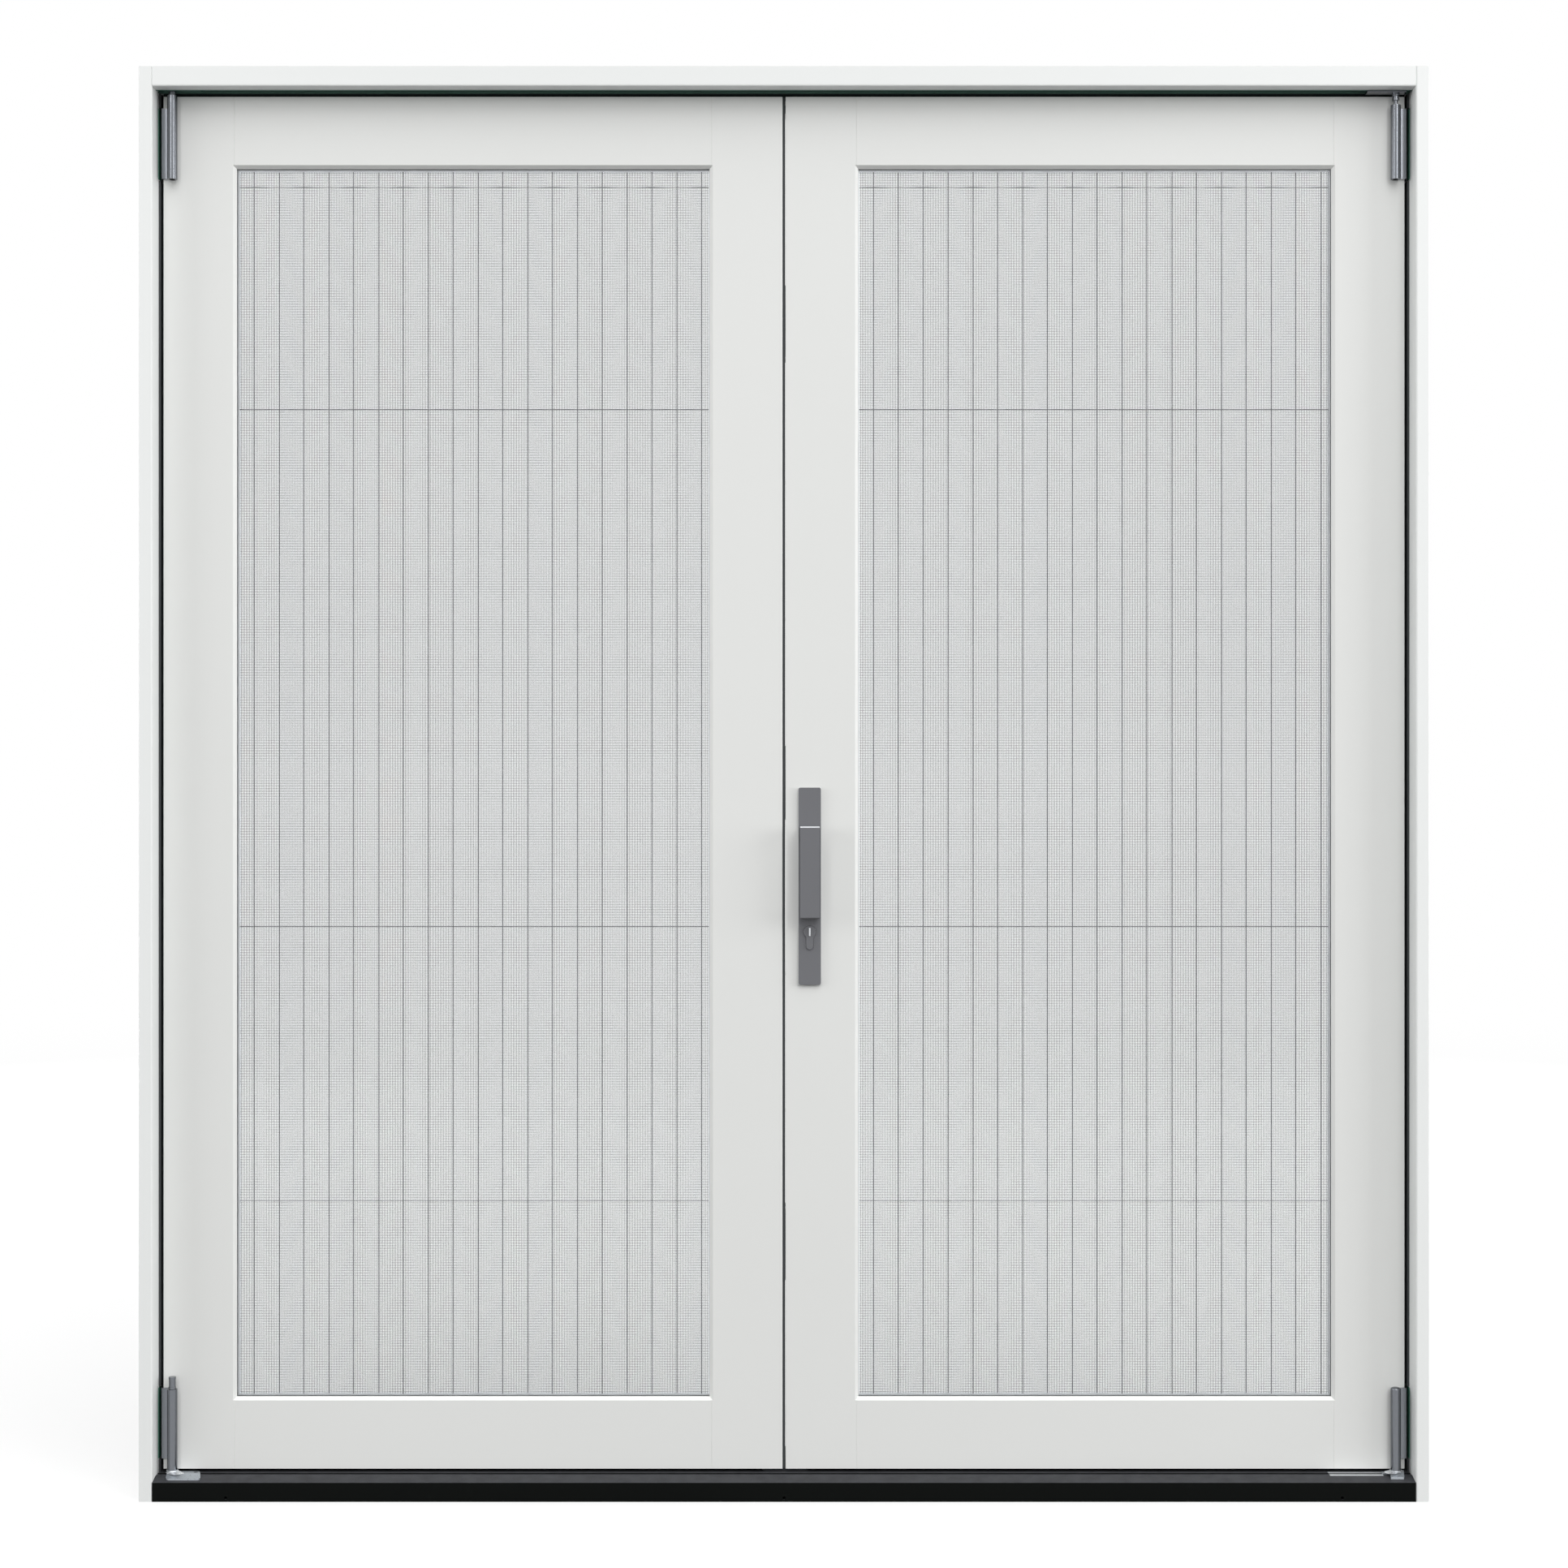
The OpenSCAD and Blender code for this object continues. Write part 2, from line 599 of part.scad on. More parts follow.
// Glazing beads: sloped on the glass side and mitred at the corners
module bead_section(s) polygon([
    [0, y_bead], [s*rebate_w, y_bead], [s*(rebate_w - bead_slope), leaf_y1], [0, leaf_y1]
]);
module bead_mitre(a, b, s) polygon([
    [a[0] + bead_joint, b], [a[1] - bead_joint, b],
    [a[1] - bead_joint - rebate_w, b + s*rebate_w], [a[0] + bead_joint + rebate_w, b + s*rebate_w]
]);
module beads() color("#f1f3f2") for (s = [0, 1]) {
    d = 1 - 2*s;
    intersection() {
        along_z(rebate_z) translate([rebate_x[s], 0]) bead_section(d);
        along_y([y_bead - over, leaf_y1 + over]) rotate(90) mirror([0, 1])
            bead_mitre(rebate_z, rebate_x[s], d);
    }
    intersection() {
        along_x(rebate_x) translate([0, rebate_z[s]]) rotate(90) mirror([0, 1]) bead_section(d);
        along_y([y_bead - over, leaf_y1 + over]) bead_mitre(rebate_x, rebate_z[s], d);
    }
}

module ring(x_out, x_in, y, z_out, z_in) difference() {
    bar(x_out, y, z_out);
    bar(x_in, [y[0] - over, y[1] + over], z_in);
}
module outer_pane() color("#dfe6ea") bar(glass_x, [y_pane1, y_cavity], glass_z);
module inner_pane() color("#dfe6ea") bar(glass_x, [y_pane2, y_bead_seal], glass_z);
// Film of sealant between the spacer bar and each pane
sealant_t = 0.3;
module spacer() color("#8f9496") ring([glass_x[0] + spacer_set, glass_x[1] - spacer_set], spacer_x,
    [y_cavity + sealant_t, y_pane2 - sealant_t],
    [glass_z[0] + spacer_set, glass_z[1] - spacer_set], spacer_z);

// Pleated screen: wires in its folds, which lie forward and back in turn, and cords through the pleats.
// They run from spacer to spacer; centre is the middle of the glass.
module mesh(centre) color("#b9bdc0") {
    y_mid = y_cavity + cavity/2;
    for (i = [0 : fold_count - 1]) {
        x = centre + fold_shift + (i - (fold_count - 1)/2)*fold_pitch;
        y = y_mid + (i % 2 == 0 ? -1 : 1)*fold_d/2;
        bar([x - wire_t/2, x + wire_t/2], [y - wire_t/2, y + wire_t/2], spacer_z);
    }
    half = (spacer_x[1] - spacer_x[0])/2;
    for (z = concat([for (h = cord_low) sight_z[0] + h], [for (h = cord_high) sight_z[1] - h]))
        bar([centre - half, centre + half], [y_mid - wire_t/2, y_mid + wire_t/2],
            [z - wire_t/2, z + wire_t/2]);
}
glass_mid = (sight_x[0] + sight_x[1])/2;

// Seals on both faces of the glass, and the setting blocks under and beside it
seal_w = 8;
block_l = 80;
block_in = 90;
module glazing_seals() color("#303030") {
    for (y = [[y_rebate, y_pane1], [y_bead_seal, y_bead]])
        ring([sight_x[0] - seal_w, sight_x[1] + seal_w], sight_x, y,
            [sight_z[0] - seal_w, sight_z[1] + seal_w], sight_z);
    y = [y_pane1 + block_gap, y_bead_seal - block_gap];
    for (x = [glass_x[0] + block_in, glass_x[1] - block_in - block_l])
        bar([x, x + block_l], y, [rebate_z[0], glass_z[0] - block_gap]);
    for (z = [glass_z[0] + block_in, glass_z[1] - block_in - block_l]) {
        bar([rebate_x[0], glass_x[0] - block_gap], y, [z, z + block_l]);
        bar([glass_x[1] + block_gap, rebate_x[1]], y, [z, z + block_l]);
    }
}

// Pivot hinge: a barrel with a plate that wraps round the leaf's outer edge
module pivot_hinge(barrel, plate, bore) color("#c9ccce") difference() {
    union() {
        rod_z(axis_x, axis_y, barrel_r, barrel);
        bar([axis_x, leaf_out + flange_t], [leaf_y0 - face_plate_t, leaf_y0], plate);
        bar([leaf_out, leaf_out + flange_t], [leaf_y0 - over, leaf_y0 + flange_d], plate);
    }
    rod_z(axis_x, axis_y, bore_r, bore);
}
through = [-over, over];
module left_top_hinge() on_left() pivot_hinge(left_top_barrel, hinge_plate_top, left_top_barrel + through);
module left_bottom_hinge() on_left() pivot_hinge(bottom_barrel, hinge_plate_bottom, bottom_barrel + through);
module right_top_hinge() pivot_hinge(right_top_barrel, hinge_plate_top, right_top_barrel + through);
dome_h = 3;
blind = [-over, -8];
module right_bottom_hinge() {
    pivot_hinge(bottom_barrel, hinge_plate_bottom, bottom_barrel + blind);
    color("#c9ccce") translate([axis_x, axis_y, bottom_barrel[1]]) rotate_extrude() intersection() {
        scale([1, dome_h/barrel_r]) circle(barrel_r);
        square(barrel_d);
    }
}

// Mid hinges on the leaves' meeting edges: three knuckles on the left leaf between two on the right
mid_plate_t = 1.8;
mid_plate_d = 30;
knuckles = 5;
knuckle_r = knuckle_d/2;
mid_pin_r = mid_pin_d/2;
mid_hinge_z = [
    leaf_z0 + mid_hinge_end, (leaf_z0 + leaf_z1 - mid_hinge_l)/2, leaf_z1 - mid_hinge_end - mid_hinge_l
];
module mid_hinges(first) color("#c9ccce") for (z0 = mid_hinge_z) difference() {
    union() {
        bar([leaf_in - mid_plate_t, leaf_in], [leaf_y1 - mid_plate_d, leaf_y1], [z0, z0 + mid_hinge_l]);
        for (k = [first : 2 : knuckles - 1]) {
            z = [z0 + k*mid_hinge_l/knuckles + slide/2, z0 + (k + 1)*mid_hinge_l/knuckles - slide/2];
            rod_z(0, mid_y, knuckle_r, z);
            bar([leaf_in - mid_plate_t, leaf_in], [leaf_y1 - over, mid_y], z);
        }
    }
    rod_z(0, mid_y, mid_pin_r + running, [z0 - over, z0 + mid_hinge_l + over]);
}
module left_mid_hinges() on_left() mid_hinges(0);
module right_mid_hinges() mid_hinges(1);
mid_cap_h = 2;
module mid_hinge_pins() color("#a9adaf") for (z0 = mid_hinge_z) {
    rod_z(0, mid_y, mid_pin_r, [z0, z0 + mid_hinge_l]);
    for (z = [z0 - mid_cap_h, z0 + mid_hinge_l]) rod_z(0, mid_y, knuckle_r, [z, z + mid_cap_h]);
}

// Seal on the left leaf's meeting edge, near the outside
meeting_seal_y = [leaf_y0 + 4, leaf_y1 - mid_plate_d - 1];
meeting_seal_gap = 0.5;
module meeting_seal() color("#202020")
    bar([-leaf_in, leaf_in - meeting_seal_gap], meeting_seal_y, [leaf_z0, leaf_z1]);

// Handle and lock, on the right leaf's meeting stile

cylinder_r = 8.5;
cylinder_tail_w = 10;
cylinder_tail = 24.5;
cylinder_clear = 0.3;
module cylinder_section(c) translate([handle_x, cylinder_z]) {
    tail = cylinder_tail - cylinder_tail_w/2;
    circle(cylinder_r + c);
    translate([-cylinder_tail_w/2 - c, -tail]) square([cylinder_tail_w + 2*c, tail]);
    translate([0, -tail]) circle(cylinder_tail_w/2 + c);
}

module plate_section(z, r) difference() {
    x = [handle_x - handle_w/2, handle_x + handle_w/2];
    translate([x[0], z[0]]) square([handle_w, z[1] - z[0]]);
    for (i = [0, 1]) for (k = [0, 1]) arris_cut([x[i], z[k]], 1 - 2*i, 1 - 2*k, r);
}

handle_plate_t = 5;
plate_corner = 2.5;
handle_y = [leaf_y0 - handle_plate_t, leaf_y0];
module handle_plate() color("#6e6f72") difference() {
    along_y(handle_y) plate_section([handle_z0, handle_z1], plate_corner);
    along_y([handle_y[0] - over, handle_y[1] + over]) cylinder_section(cylinder_clear);
}

// Pull grip: a bow with a chamfered outer face
grip_w = 27;
grip_t = 9;
grip_post = 14;
grip_chamfer = 1.5;
grip_y = handle_y[0] - grip_space - grip_t;
module pull_grip() color("#6e6f72") along_x([handle_x - grip_w/2, handle_x + grip_w/2]) difference() {
    polygon([
        [handle_y[0], grip_z0], [grip_y + grip_chamfer, grip_z0], [grip_y, grip_z0 + grip_chamfer],
        [grip_y, grip_z1 - grip_chamfer], [grip_y + grip_chamfer, grip_z1], [handle_y[0], grip_z1]
    ]);
    translate([handle_y[0] - grip_space, grip_z0 + grip_post])
        square([grip_space + over, grip_l - 2*grip_post]);
}

inner_plate_t = 6;
inner_plate_end = 45;
inner_y = [leaf_y1, leaf_y1 + inner_plate_t];
cylinder_out = 2;
plug_r = 6;
plug_l = 30;
plug_y = handle_y[0] - cylinder_out;
module lock_cylinder() color("#b4b6b8") difference() {
    along_y([plug_y, inner_y[1] + over]) cylinder_section(0);
    rod_y(handle_x, cylinder_z, plug_r + running, [plug_y - over, plug_y + plug_l]);
}

turn_bar_w = 2.3;
turn_bar_l = 9.6;
turn_bar_h = 2;
module key_plug() color("#d8dadb") {
    rod_y(handle_x, cylinder_z, plug_r, [plug_y, plug_y + plug_l - slide]);
    bar([handle_x - turn_bar_w/2, handle_x + turn_bar_w/2], [plug_y - turn_bar_h, plug_y + over],
        [cylinder_z - turn_bar_l/2, cylinder_z + turn_bar_l/2]);
}

lever_neck_r = 8;
module inner_plate() color("#6e6f72") difference() {
    along_y(inner_y) plate_section([cylinder_z - inner_plate_end, lever_z + inner_plate_end], plate_corner);
    along_y([inner_y[0] - over, inner_y[1] + over]) cylinder_section(cylinder_clear);
    rod_y(handle_x, lever_z, lever_neck_r + running, [inner_y[0] - over, inner_y[1] + over]);
}

// Inside lever: lies level when the bolts are drawn back, with its square spindle in the lock case
case_t = 16;
case_d = 52;
case_up = 40;
case_down = 35;
case_x = [leaf_in + faceplate_t, leaf_in + faceplate_t + case_d];
case_y = [leaf_ym - case_t/2, leaf_ym + case_t/2];
case_z = [cylinder_z - case_down, lever_z + case_up];
spindle_w = 8;
spindle_clear_r = 6.5;
blade_l = 62;
blade_r = 9;
blade_end_r = 6;
blade_tip = blade_l - blade_end_r;
blade_y = [inner_y[1] + 1.5, inner_y[1] + 8];
module inner_lever() color("#6e6f72") {
    rod_y(handle_x, lever_z, lever_neck_r, [leaf_y1, blade_y[0] + over]);
    along_y(blade_y) translate([handle_x, lever_z]) {
        circle(blade_r);
        polygon([[0, -blade_r], [blade_tip, -blade_end_r], [blade_tip, blade_end_r], [0, blade_r]]);
        translate([blade_tip, 0]) circle(blade_end_r);
    }
    bar([handle_x - spindle_w/2, handle_x + spindle_w/2], [case_y[0], leaf_y1 + over],
        [lever_z - spindle_w/2, lever_z + spindle_w/2]);
}

bolt_tail = 28;
module bolt_space(c, z)
    bar([bolt_x[0] - c, bolt_x[1] + c], [bolt_y[0] - c, bolt_y[1] + c], z);
module lock_case() color("#8b8e90") difference() {
    bar(case_x, case_y, case_z);
    along_y([case_y[0] - over, case_y[1] + over]) cylinder_section(cylinder_clear);
    rod_y(handle_x, lever_z, spindle_clear_r, [case_y[0] - over, case_y[1] + over]);
    bolt_space(slide, [case_z[0] - over, case_z[0] + bolt_tail + slide]);
    bolt_space(slide, [case_z[1] - bolt_tail - slide, case_z[1] + over]);
}

module faceplate() color("#b9bcbe")
    bar([leaf_in, leaf_in + faceplate_t], faceplate_y, [leaf_z0, leaf_z1]);

// Bolt with a bevelled tip; d is the direction in which it shoots
bolt_bevel = 0.6;
module bolt(tail, tip, d) along_y(bolt_y) polygon([
    [bolt_x[0], tail], [bolt_x[0], tip - d*bolt_bevel], [bolt_x[0] + bolt_bevel, tip],
    [bolt_x[1] - bolt_bevel, tip], [bolt_x[1], tip - d*bolt_bevel], [bolt_x[1], tail]
]);
module upper_bolt() color("#c4c7c9") bolt(case_z[1] - bolt_tail, leaf_z1 - bolt_end_set, 1);
module lower_bolt() color("#c4c7c9") bolt(case_z[0] + bolt_tail, leaf_z0 + bolt_end_set, -1);

module right_meeting_stile() difference() {
    meeting_stile();
    bar([leaf_in - over, leaf_in + faceplate_t], faceplate_y, [leaf_z0 - over, leaf_z1 + over]);
    bolt_space(slide, [leaf_z0 - over, leaf_z1 + over]);
    bar(case_x, case_y, case_z);
    along_y([leaf_y0 - over, leaf_y1 + over]) cylinder_section(cylinder_clear);
    rod_y(handle_x, lever_z, spindle_clear_r, [case_y[0], leaf_y1 + over]);
}

// Trolley in the top track, and the pin that carries the right leaf

trolley_end = 12.5;
trolley_x = [axis_x + trolley_end - trolley_l, axis_x + trolley_end];
wheel_w = 4;
wheel_inset = 9;
axle_r = 2;
body_half = 4;
neck_half = track_slot/2 - 1;
wheel_gap = 0.15;
wheel_z = track_z[0] + track_lip + wheel_gap + wheel_d/2;
wheel_x = [trolley_x[0] + wheel_inset, trolley_x[1] - wheel_inset + 1];
trolley_plate_z = [z_soffit - 3, z_soffit - 0.5];
trolley_spigot_top = z_soffit + track_lip + 3;
module trolley() color("#7d8784") difference() {
    union() {
        bar(trolley_x, [axis_y - body_half, axis_y + body_half], [track_z[0] + track_lip + 1, wheel_z + 5]);
        bar([trolley_x[0] + 2, trolley_x[1] - 2], [axis_y - neck_half, axis_y + neck_half],
            [trolley_plate_z[0], track_z[0] + track_lip + 2]);
        bar(trolley_x, [axis_y - track_w/2 + 1, axis_y + track_w/2 - 3], trolley_plate_z);
    }
    for (x = wheel_x) rod_y(x, wheel_z, axle_r + running, [axis_y - track_w, axis_y + track_w]);
    rod_z(axis_x, axis_y, spigot_r - 0.4, [trolley_plate_z[0] - over, trolley_spigot_top]);
}

neck_r = 2.75;
collar_l = 9.3;
collar_step = 0.8;
module trolley_pin() color("silver") {
    collar_z = [trolley_plate_z[0] - collar_l, trolley_plate_z[0]];
    rod_z(axis_x, axis_y, pin_r, [right_top_barrel[0] + 6, right_top_barrel[1] + over]);
    rod_z(axis_x, axis_y, neck_r, [right_top_barrel[1], collar_z[0] + over]);
    rod_z(axis_x, axis_y, collar_r - collar_step, collar_z);
    for (z = [collar_z[0], collar_z[1] - pin_flange_h])
        rod_z(axis_x, axis_y, collar_r, [z, z + pin_flange_h]);
    rod_z(axis_x, axis_y, spigot_r - 0.4, [collar_z[1] - over, trolley_spigot_top]);
}

module wheelset(x) color("#d9d6c8") {
    rod_y(x, wheel_z, axle_r, [axis_y - body_half - slide - wheel_w, axis_y + body_half + slide + wheel_w]);
    for (y = [axis_y - body_half - slide - wheel_w, axis_y + body_half + slide])
        rod_y(x, wheel_z, wheel_d/2, [y, y + wheel_w]);
}
module front_wheels() wheelset(wheel_x[0]);
module rear_wheels() wheelset(wheel_x[1]);

// Guide shoe on the threshold, with its pin and the roller in the bottom track

shoe_t = 3.2;
shoe_l = 19;
shoe_x = [axis_x + trolley_end - shoe_l, axis_x + trolley_end];
shoe_top = sill_top_h + slide + shoe_t;
stem_r = guide_slot/2 - slide;
roller_z = [channel_z[0] + 1.7, channel_z[1] - 1];
stem_head_z = [channel_z[0] + 0.4, roller_z[0] - slide];
tongue_l = 13;
tongue_w = 9;
tongue_t = 1.6;
module guide_shoe() color("#4a4d4f") difference() {
    union() {
        along_x(shoe_x) sill_plate_section(y_front + 8.8, leaf_y0 - 2, slide, shoe_t);
        bar([shoe_x[0] - tongue_l, shoe_x[0] + over], [axis_y - tongue_w/2, axis_y + tongue_w/2],
            [sill_top_h + slide, sill_top_h + slide + tongue_t]);
    }
    rod_z(axis_x, axis_y, stem_r, [sill_top_h - over, shoe_top + over]);
}
module guide_pin() color("silver") {
    rod_z(axis_x, axis_y, pin_r, [shoe_top, bottom_barrel[1] - 10]);
    rod_z(axis_x, axis_y, stem_r, [stem_head_z[0], shoe_top + over]);
    rod_z(axis_x, axis_y, stem_r + 1.3, stem_head_z);
}
module guide_roller() color("#e4e1d4") difference() {
    rod_z(axis_x, axis_y, roller_d/2, roller_z);
    rod_z(axis_x, axis_y, stem_r + running, [roller_z[0] - over, roller_z[1] + over]);
}

left_jamb();
right_jamb();
head();
sill();
sill_stop();
top_track();
track_inserts();
frame_seals();
hinge_packers();
floor_pivot();
head_pivot();
left_pivot_pins();
bolt_keepers();
plate_screws();
frame_stops();
on_left() hinge_stile();  // left_hinge_stile
on_left() meeting_stile();  // left_meeting_stile
on_left() top_rail();  // left_top_rail
on_left() bottom_rail();  // left_bottom_rail
on_left() beads();  // left_beads
on_left() outer_pane();  // left_outer_pane
on_left() inner_pane();  // left_inner_pane
on_left() spacer();  // left_spacer
mesh(-glass_mid);  // left_mesh
on_left() glazing_seals();  // left_glazing_seals
left_top_hinge();
left_bottom_hinge();
left_mid_hinges();
mid_hinge_pins();
meeting_seal();
hinge_stile();  // right_hinge_stile
right_meeting_stile();
top_rail();  // right_top_rail
bottom_rail();  // right_bottom_rail
beads();  // right_beads
outer_pane();  // right_outer_pane
inner_pane();  // right_inner_pane
spacer();  // right_spacer
mesh(glass_mid);  // right_mesh
glazing_seals();  // right_glazing_seals
right_top_hinge();
right_bottom_hinge();
right_mid_hinges();
handle_plate();
pull_grip();
lock_cylinder();
key_plug();
inner_plate();
inner_lever();
lock_case();
faceplate();
upper_bolt();
lower_bolt();
trolley();
trolley_pin();
front_wheels();
rear_wheels();
guide_shoe();
guide_pin();
guide_roller();
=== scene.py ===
"""Looks of a folding door: two glazed leaves with a wire screen in the glass, in a white rebated frame.

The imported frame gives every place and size, in metres, with +Z up and the outside towards -Y.
"""

from __future__ import annotations

import json
import logging
import math
from dataclasses import dataclass
from enum import Enum
from typing import Sequence

import bmesh
import bpy
from bpy.types import Light, Material, Mesh, Node, NodeSocket, NodeTree, Object
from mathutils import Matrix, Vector

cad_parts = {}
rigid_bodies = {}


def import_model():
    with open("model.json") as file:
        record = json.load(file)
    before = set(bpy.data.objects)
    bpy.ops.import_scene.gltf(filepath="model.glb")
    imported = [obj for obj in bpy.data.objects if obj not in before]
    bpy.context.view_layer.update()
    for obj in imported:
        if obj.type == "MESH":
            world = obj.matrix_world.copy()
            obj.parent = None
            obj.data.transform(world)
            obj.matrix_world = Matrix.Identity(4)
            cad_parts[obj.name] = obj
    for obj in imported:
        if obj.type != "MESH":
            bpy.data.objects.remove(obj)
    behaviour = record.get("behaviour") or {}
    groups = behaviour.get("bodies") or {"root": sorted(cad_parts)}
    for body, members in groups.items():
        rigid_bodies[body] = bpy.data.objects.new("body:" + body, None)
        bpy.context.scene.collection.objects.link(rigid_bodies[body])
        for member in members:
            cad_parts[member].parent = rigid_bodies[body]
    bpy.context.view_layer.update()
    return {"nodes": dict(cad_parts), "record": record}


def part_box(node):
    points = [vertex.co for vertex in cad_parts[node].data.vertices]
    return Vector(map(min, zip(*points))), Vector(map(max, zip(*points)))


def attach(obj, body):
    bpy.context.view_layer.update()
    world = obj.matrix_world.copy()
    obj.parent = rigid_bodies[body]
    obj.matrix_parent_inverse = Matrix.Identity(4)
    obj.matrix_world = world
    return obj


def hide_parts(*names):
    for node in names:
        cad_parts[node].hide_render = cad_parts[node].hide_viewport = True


LOG = logging.getLogger("folding_door")
MM = 0.001
UP = Vector((0.0, 0.0, 1.0))
INWARD = Vector((0.0, 1.0, 0.0))
Pair = tuple[float, float]
Triple = tuple[float, float, float]
Colour = Triple
COLOUR, VALUE, VECTOR = "NodeSocketColor", "NodeSocketFloat", "NodeSocketVector"


class Slot(str, Enum):
    """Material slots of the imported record."""

    WHITE_PAINT = "white_paint"
    BLACK_SILL = "black_sill"
    DARK_TRACK = "dark_track"
    SILVER = "silver"
    STEEL = "steel"
    SEAL = "seal"
    GREEN_PACKER = "green_packer"
    GLASS = "glass"
    MESH_WIRE = "mesh_wire"
    SPACER_BAR = "spacer_bar"
    HANDLE_GREY = "handle_grey"
    NYLON = "nylon"


class Side(Enum):
    """The two leaves, with the sign of X on their side."""

    LEFT = -1
    RIGHT = 1

    @property
    def body(self) -> str:
        """Name of the leaf's body."""
        return f"{self.name.lower()}_leaf"

    def node(self, part: str) -> str:
        """Name of one of the leaf's nodes."""
        return f"{self.name.lower()}_{part}"


def linear(*display: int) -> Colour:
    """Turn a display colour, 0 to 255, into the linear colour that shaders take."""
    shares = [value / 255.0 for value in display]
    return tuple(share / 12.92 if share <= 0.04045 else ((share + 0.055) / 1.055) ** 2.4 for share in shares)


def new_object(name: str, data: bpy.types.ID) -> Object:
    """Make an object and put it in the scene.

    Args:
        name: The object's name.
        data: Its mesh, lamp or camera.

    Returns:
        The object.
    """
    item = bpy.data.objects.new(name, data)
    bpy.context.scene.collection.objects.link(item)
    return item


def mount(piece: Object, body: str) -> None:
    """Put a new piece on its body and report it.

    Args:
        piece: The piece.
        body: The body that it moves with.
    """
    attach(piece, body)
    LOG.info("%s on %s: %d faces", piece.name, body, len(piece.data.polygons))


class NodeGraph:
    """Short calls for building a node tree."""

    def __init__(self, tree: NodeTree) -> None:
        """Keep the tree that the calls add to."""
        self.tree = tree

    def feed(self, socket: NodeSocket, item: object) -> None:
        """Join an output to an input, or set the input to a value.

        Args:
            socket: The input.
            item: The output to join, or the value to set.
        """
        if isinstance(item, NodeSocket):
            self.tree.links.new(item, socket)
        else:
            socket.default_value = item

    def set(self, node: Node, **items: object) -> None:
        """Set a node's properties and feed its inputs.

        Args:
            node: The node.
            items: Properties in lower case, and inputs with a capital and underscores for spaces.
        """
        for name, item in items.items():
            if name[0].islower():
                setattr(node, name, item)
            else:
                self.feed(node.inputs[name.replace("_", " ")], item)

    def add(self, kind: str, **items: object) -> Node:
        """Add a node.

        Args:
            kind: The node's type name.
            items: Its properties and inputs, as for set.

        Returns:
            The new node.
        """
        node = self.tree.nodes.new(kind)
        self.set(node, **items)
        return node

    def math(self, operation: str, *terms: object, clamp: bool = False) -> NodeSocket:
        """Work out one number.

        Args:
            operation: The Math node's operation.
            terms: Outputs to join, or numbers to set.
            clamp: Whether the result is kept between 0 and 1.

        Returns:
            The result.
        """
        node = self.add("ShaderNodeMath", operation=operation, use_clamp=clamp)
        for socket, term in zip(node.inputs, terms):
            self.feed(socket, term)
        return node.outputs[0]


class ShaderGraph(NodeGraph):
    """Short calls for what several materials need."""

    def noise(self, vector: NodeSocket, scale: object, detail: float) -> NodeSocket:
        """Value of a noise with so many cells to the metre and octaves of detail."""
        return self.add("ShaderNodeTexNoise", Vector=vector, Scale=scale, Detail=detail).outputs["Fac"]

    def remap(self, value: NodeSocket, low: float, high: float) -> NodeSocket:
        """Stretch a value from 0..1 to low..high."""
        return self.add("ShaderNodeMapRange", Value=value, To_Min=low, To_Max=high).outputs["Result"]

    def place(self) -> NodeSocket:
        """Object coordinates."""
        return self.add("ShaderNodeTexCoord").outputs["Object"]

    def scaled(self, factors: Sequence[float]) -> NodeSocket:
        """Object coordinates, stretched along X, Y and Z."""
        return self.add("ShaderNodeMapping", Scale=factors, Vector=self.place()).outputs["Vector"]

    def bump(self, height: NodeSocket, strength: float, depth: float) -> NodeSocket:
        """Normal of a surface that a height from 0 to 1 raises by up to a depth in metres."""
        return self.add("ShaderNodeBump", Strength=strength, Distance=depth, Height=height).outputs["Normal"]


SKIN_INPUTS = {"Colour": COLOUR, "Vector": VECTOR, "Tone": VALUE, "Gloss": VALUE, "Uneven": VALUE}
SKIN_OUTPUTS = {"Colour": COLOUR, "Roughness": VALUE, "Height": VALUE}


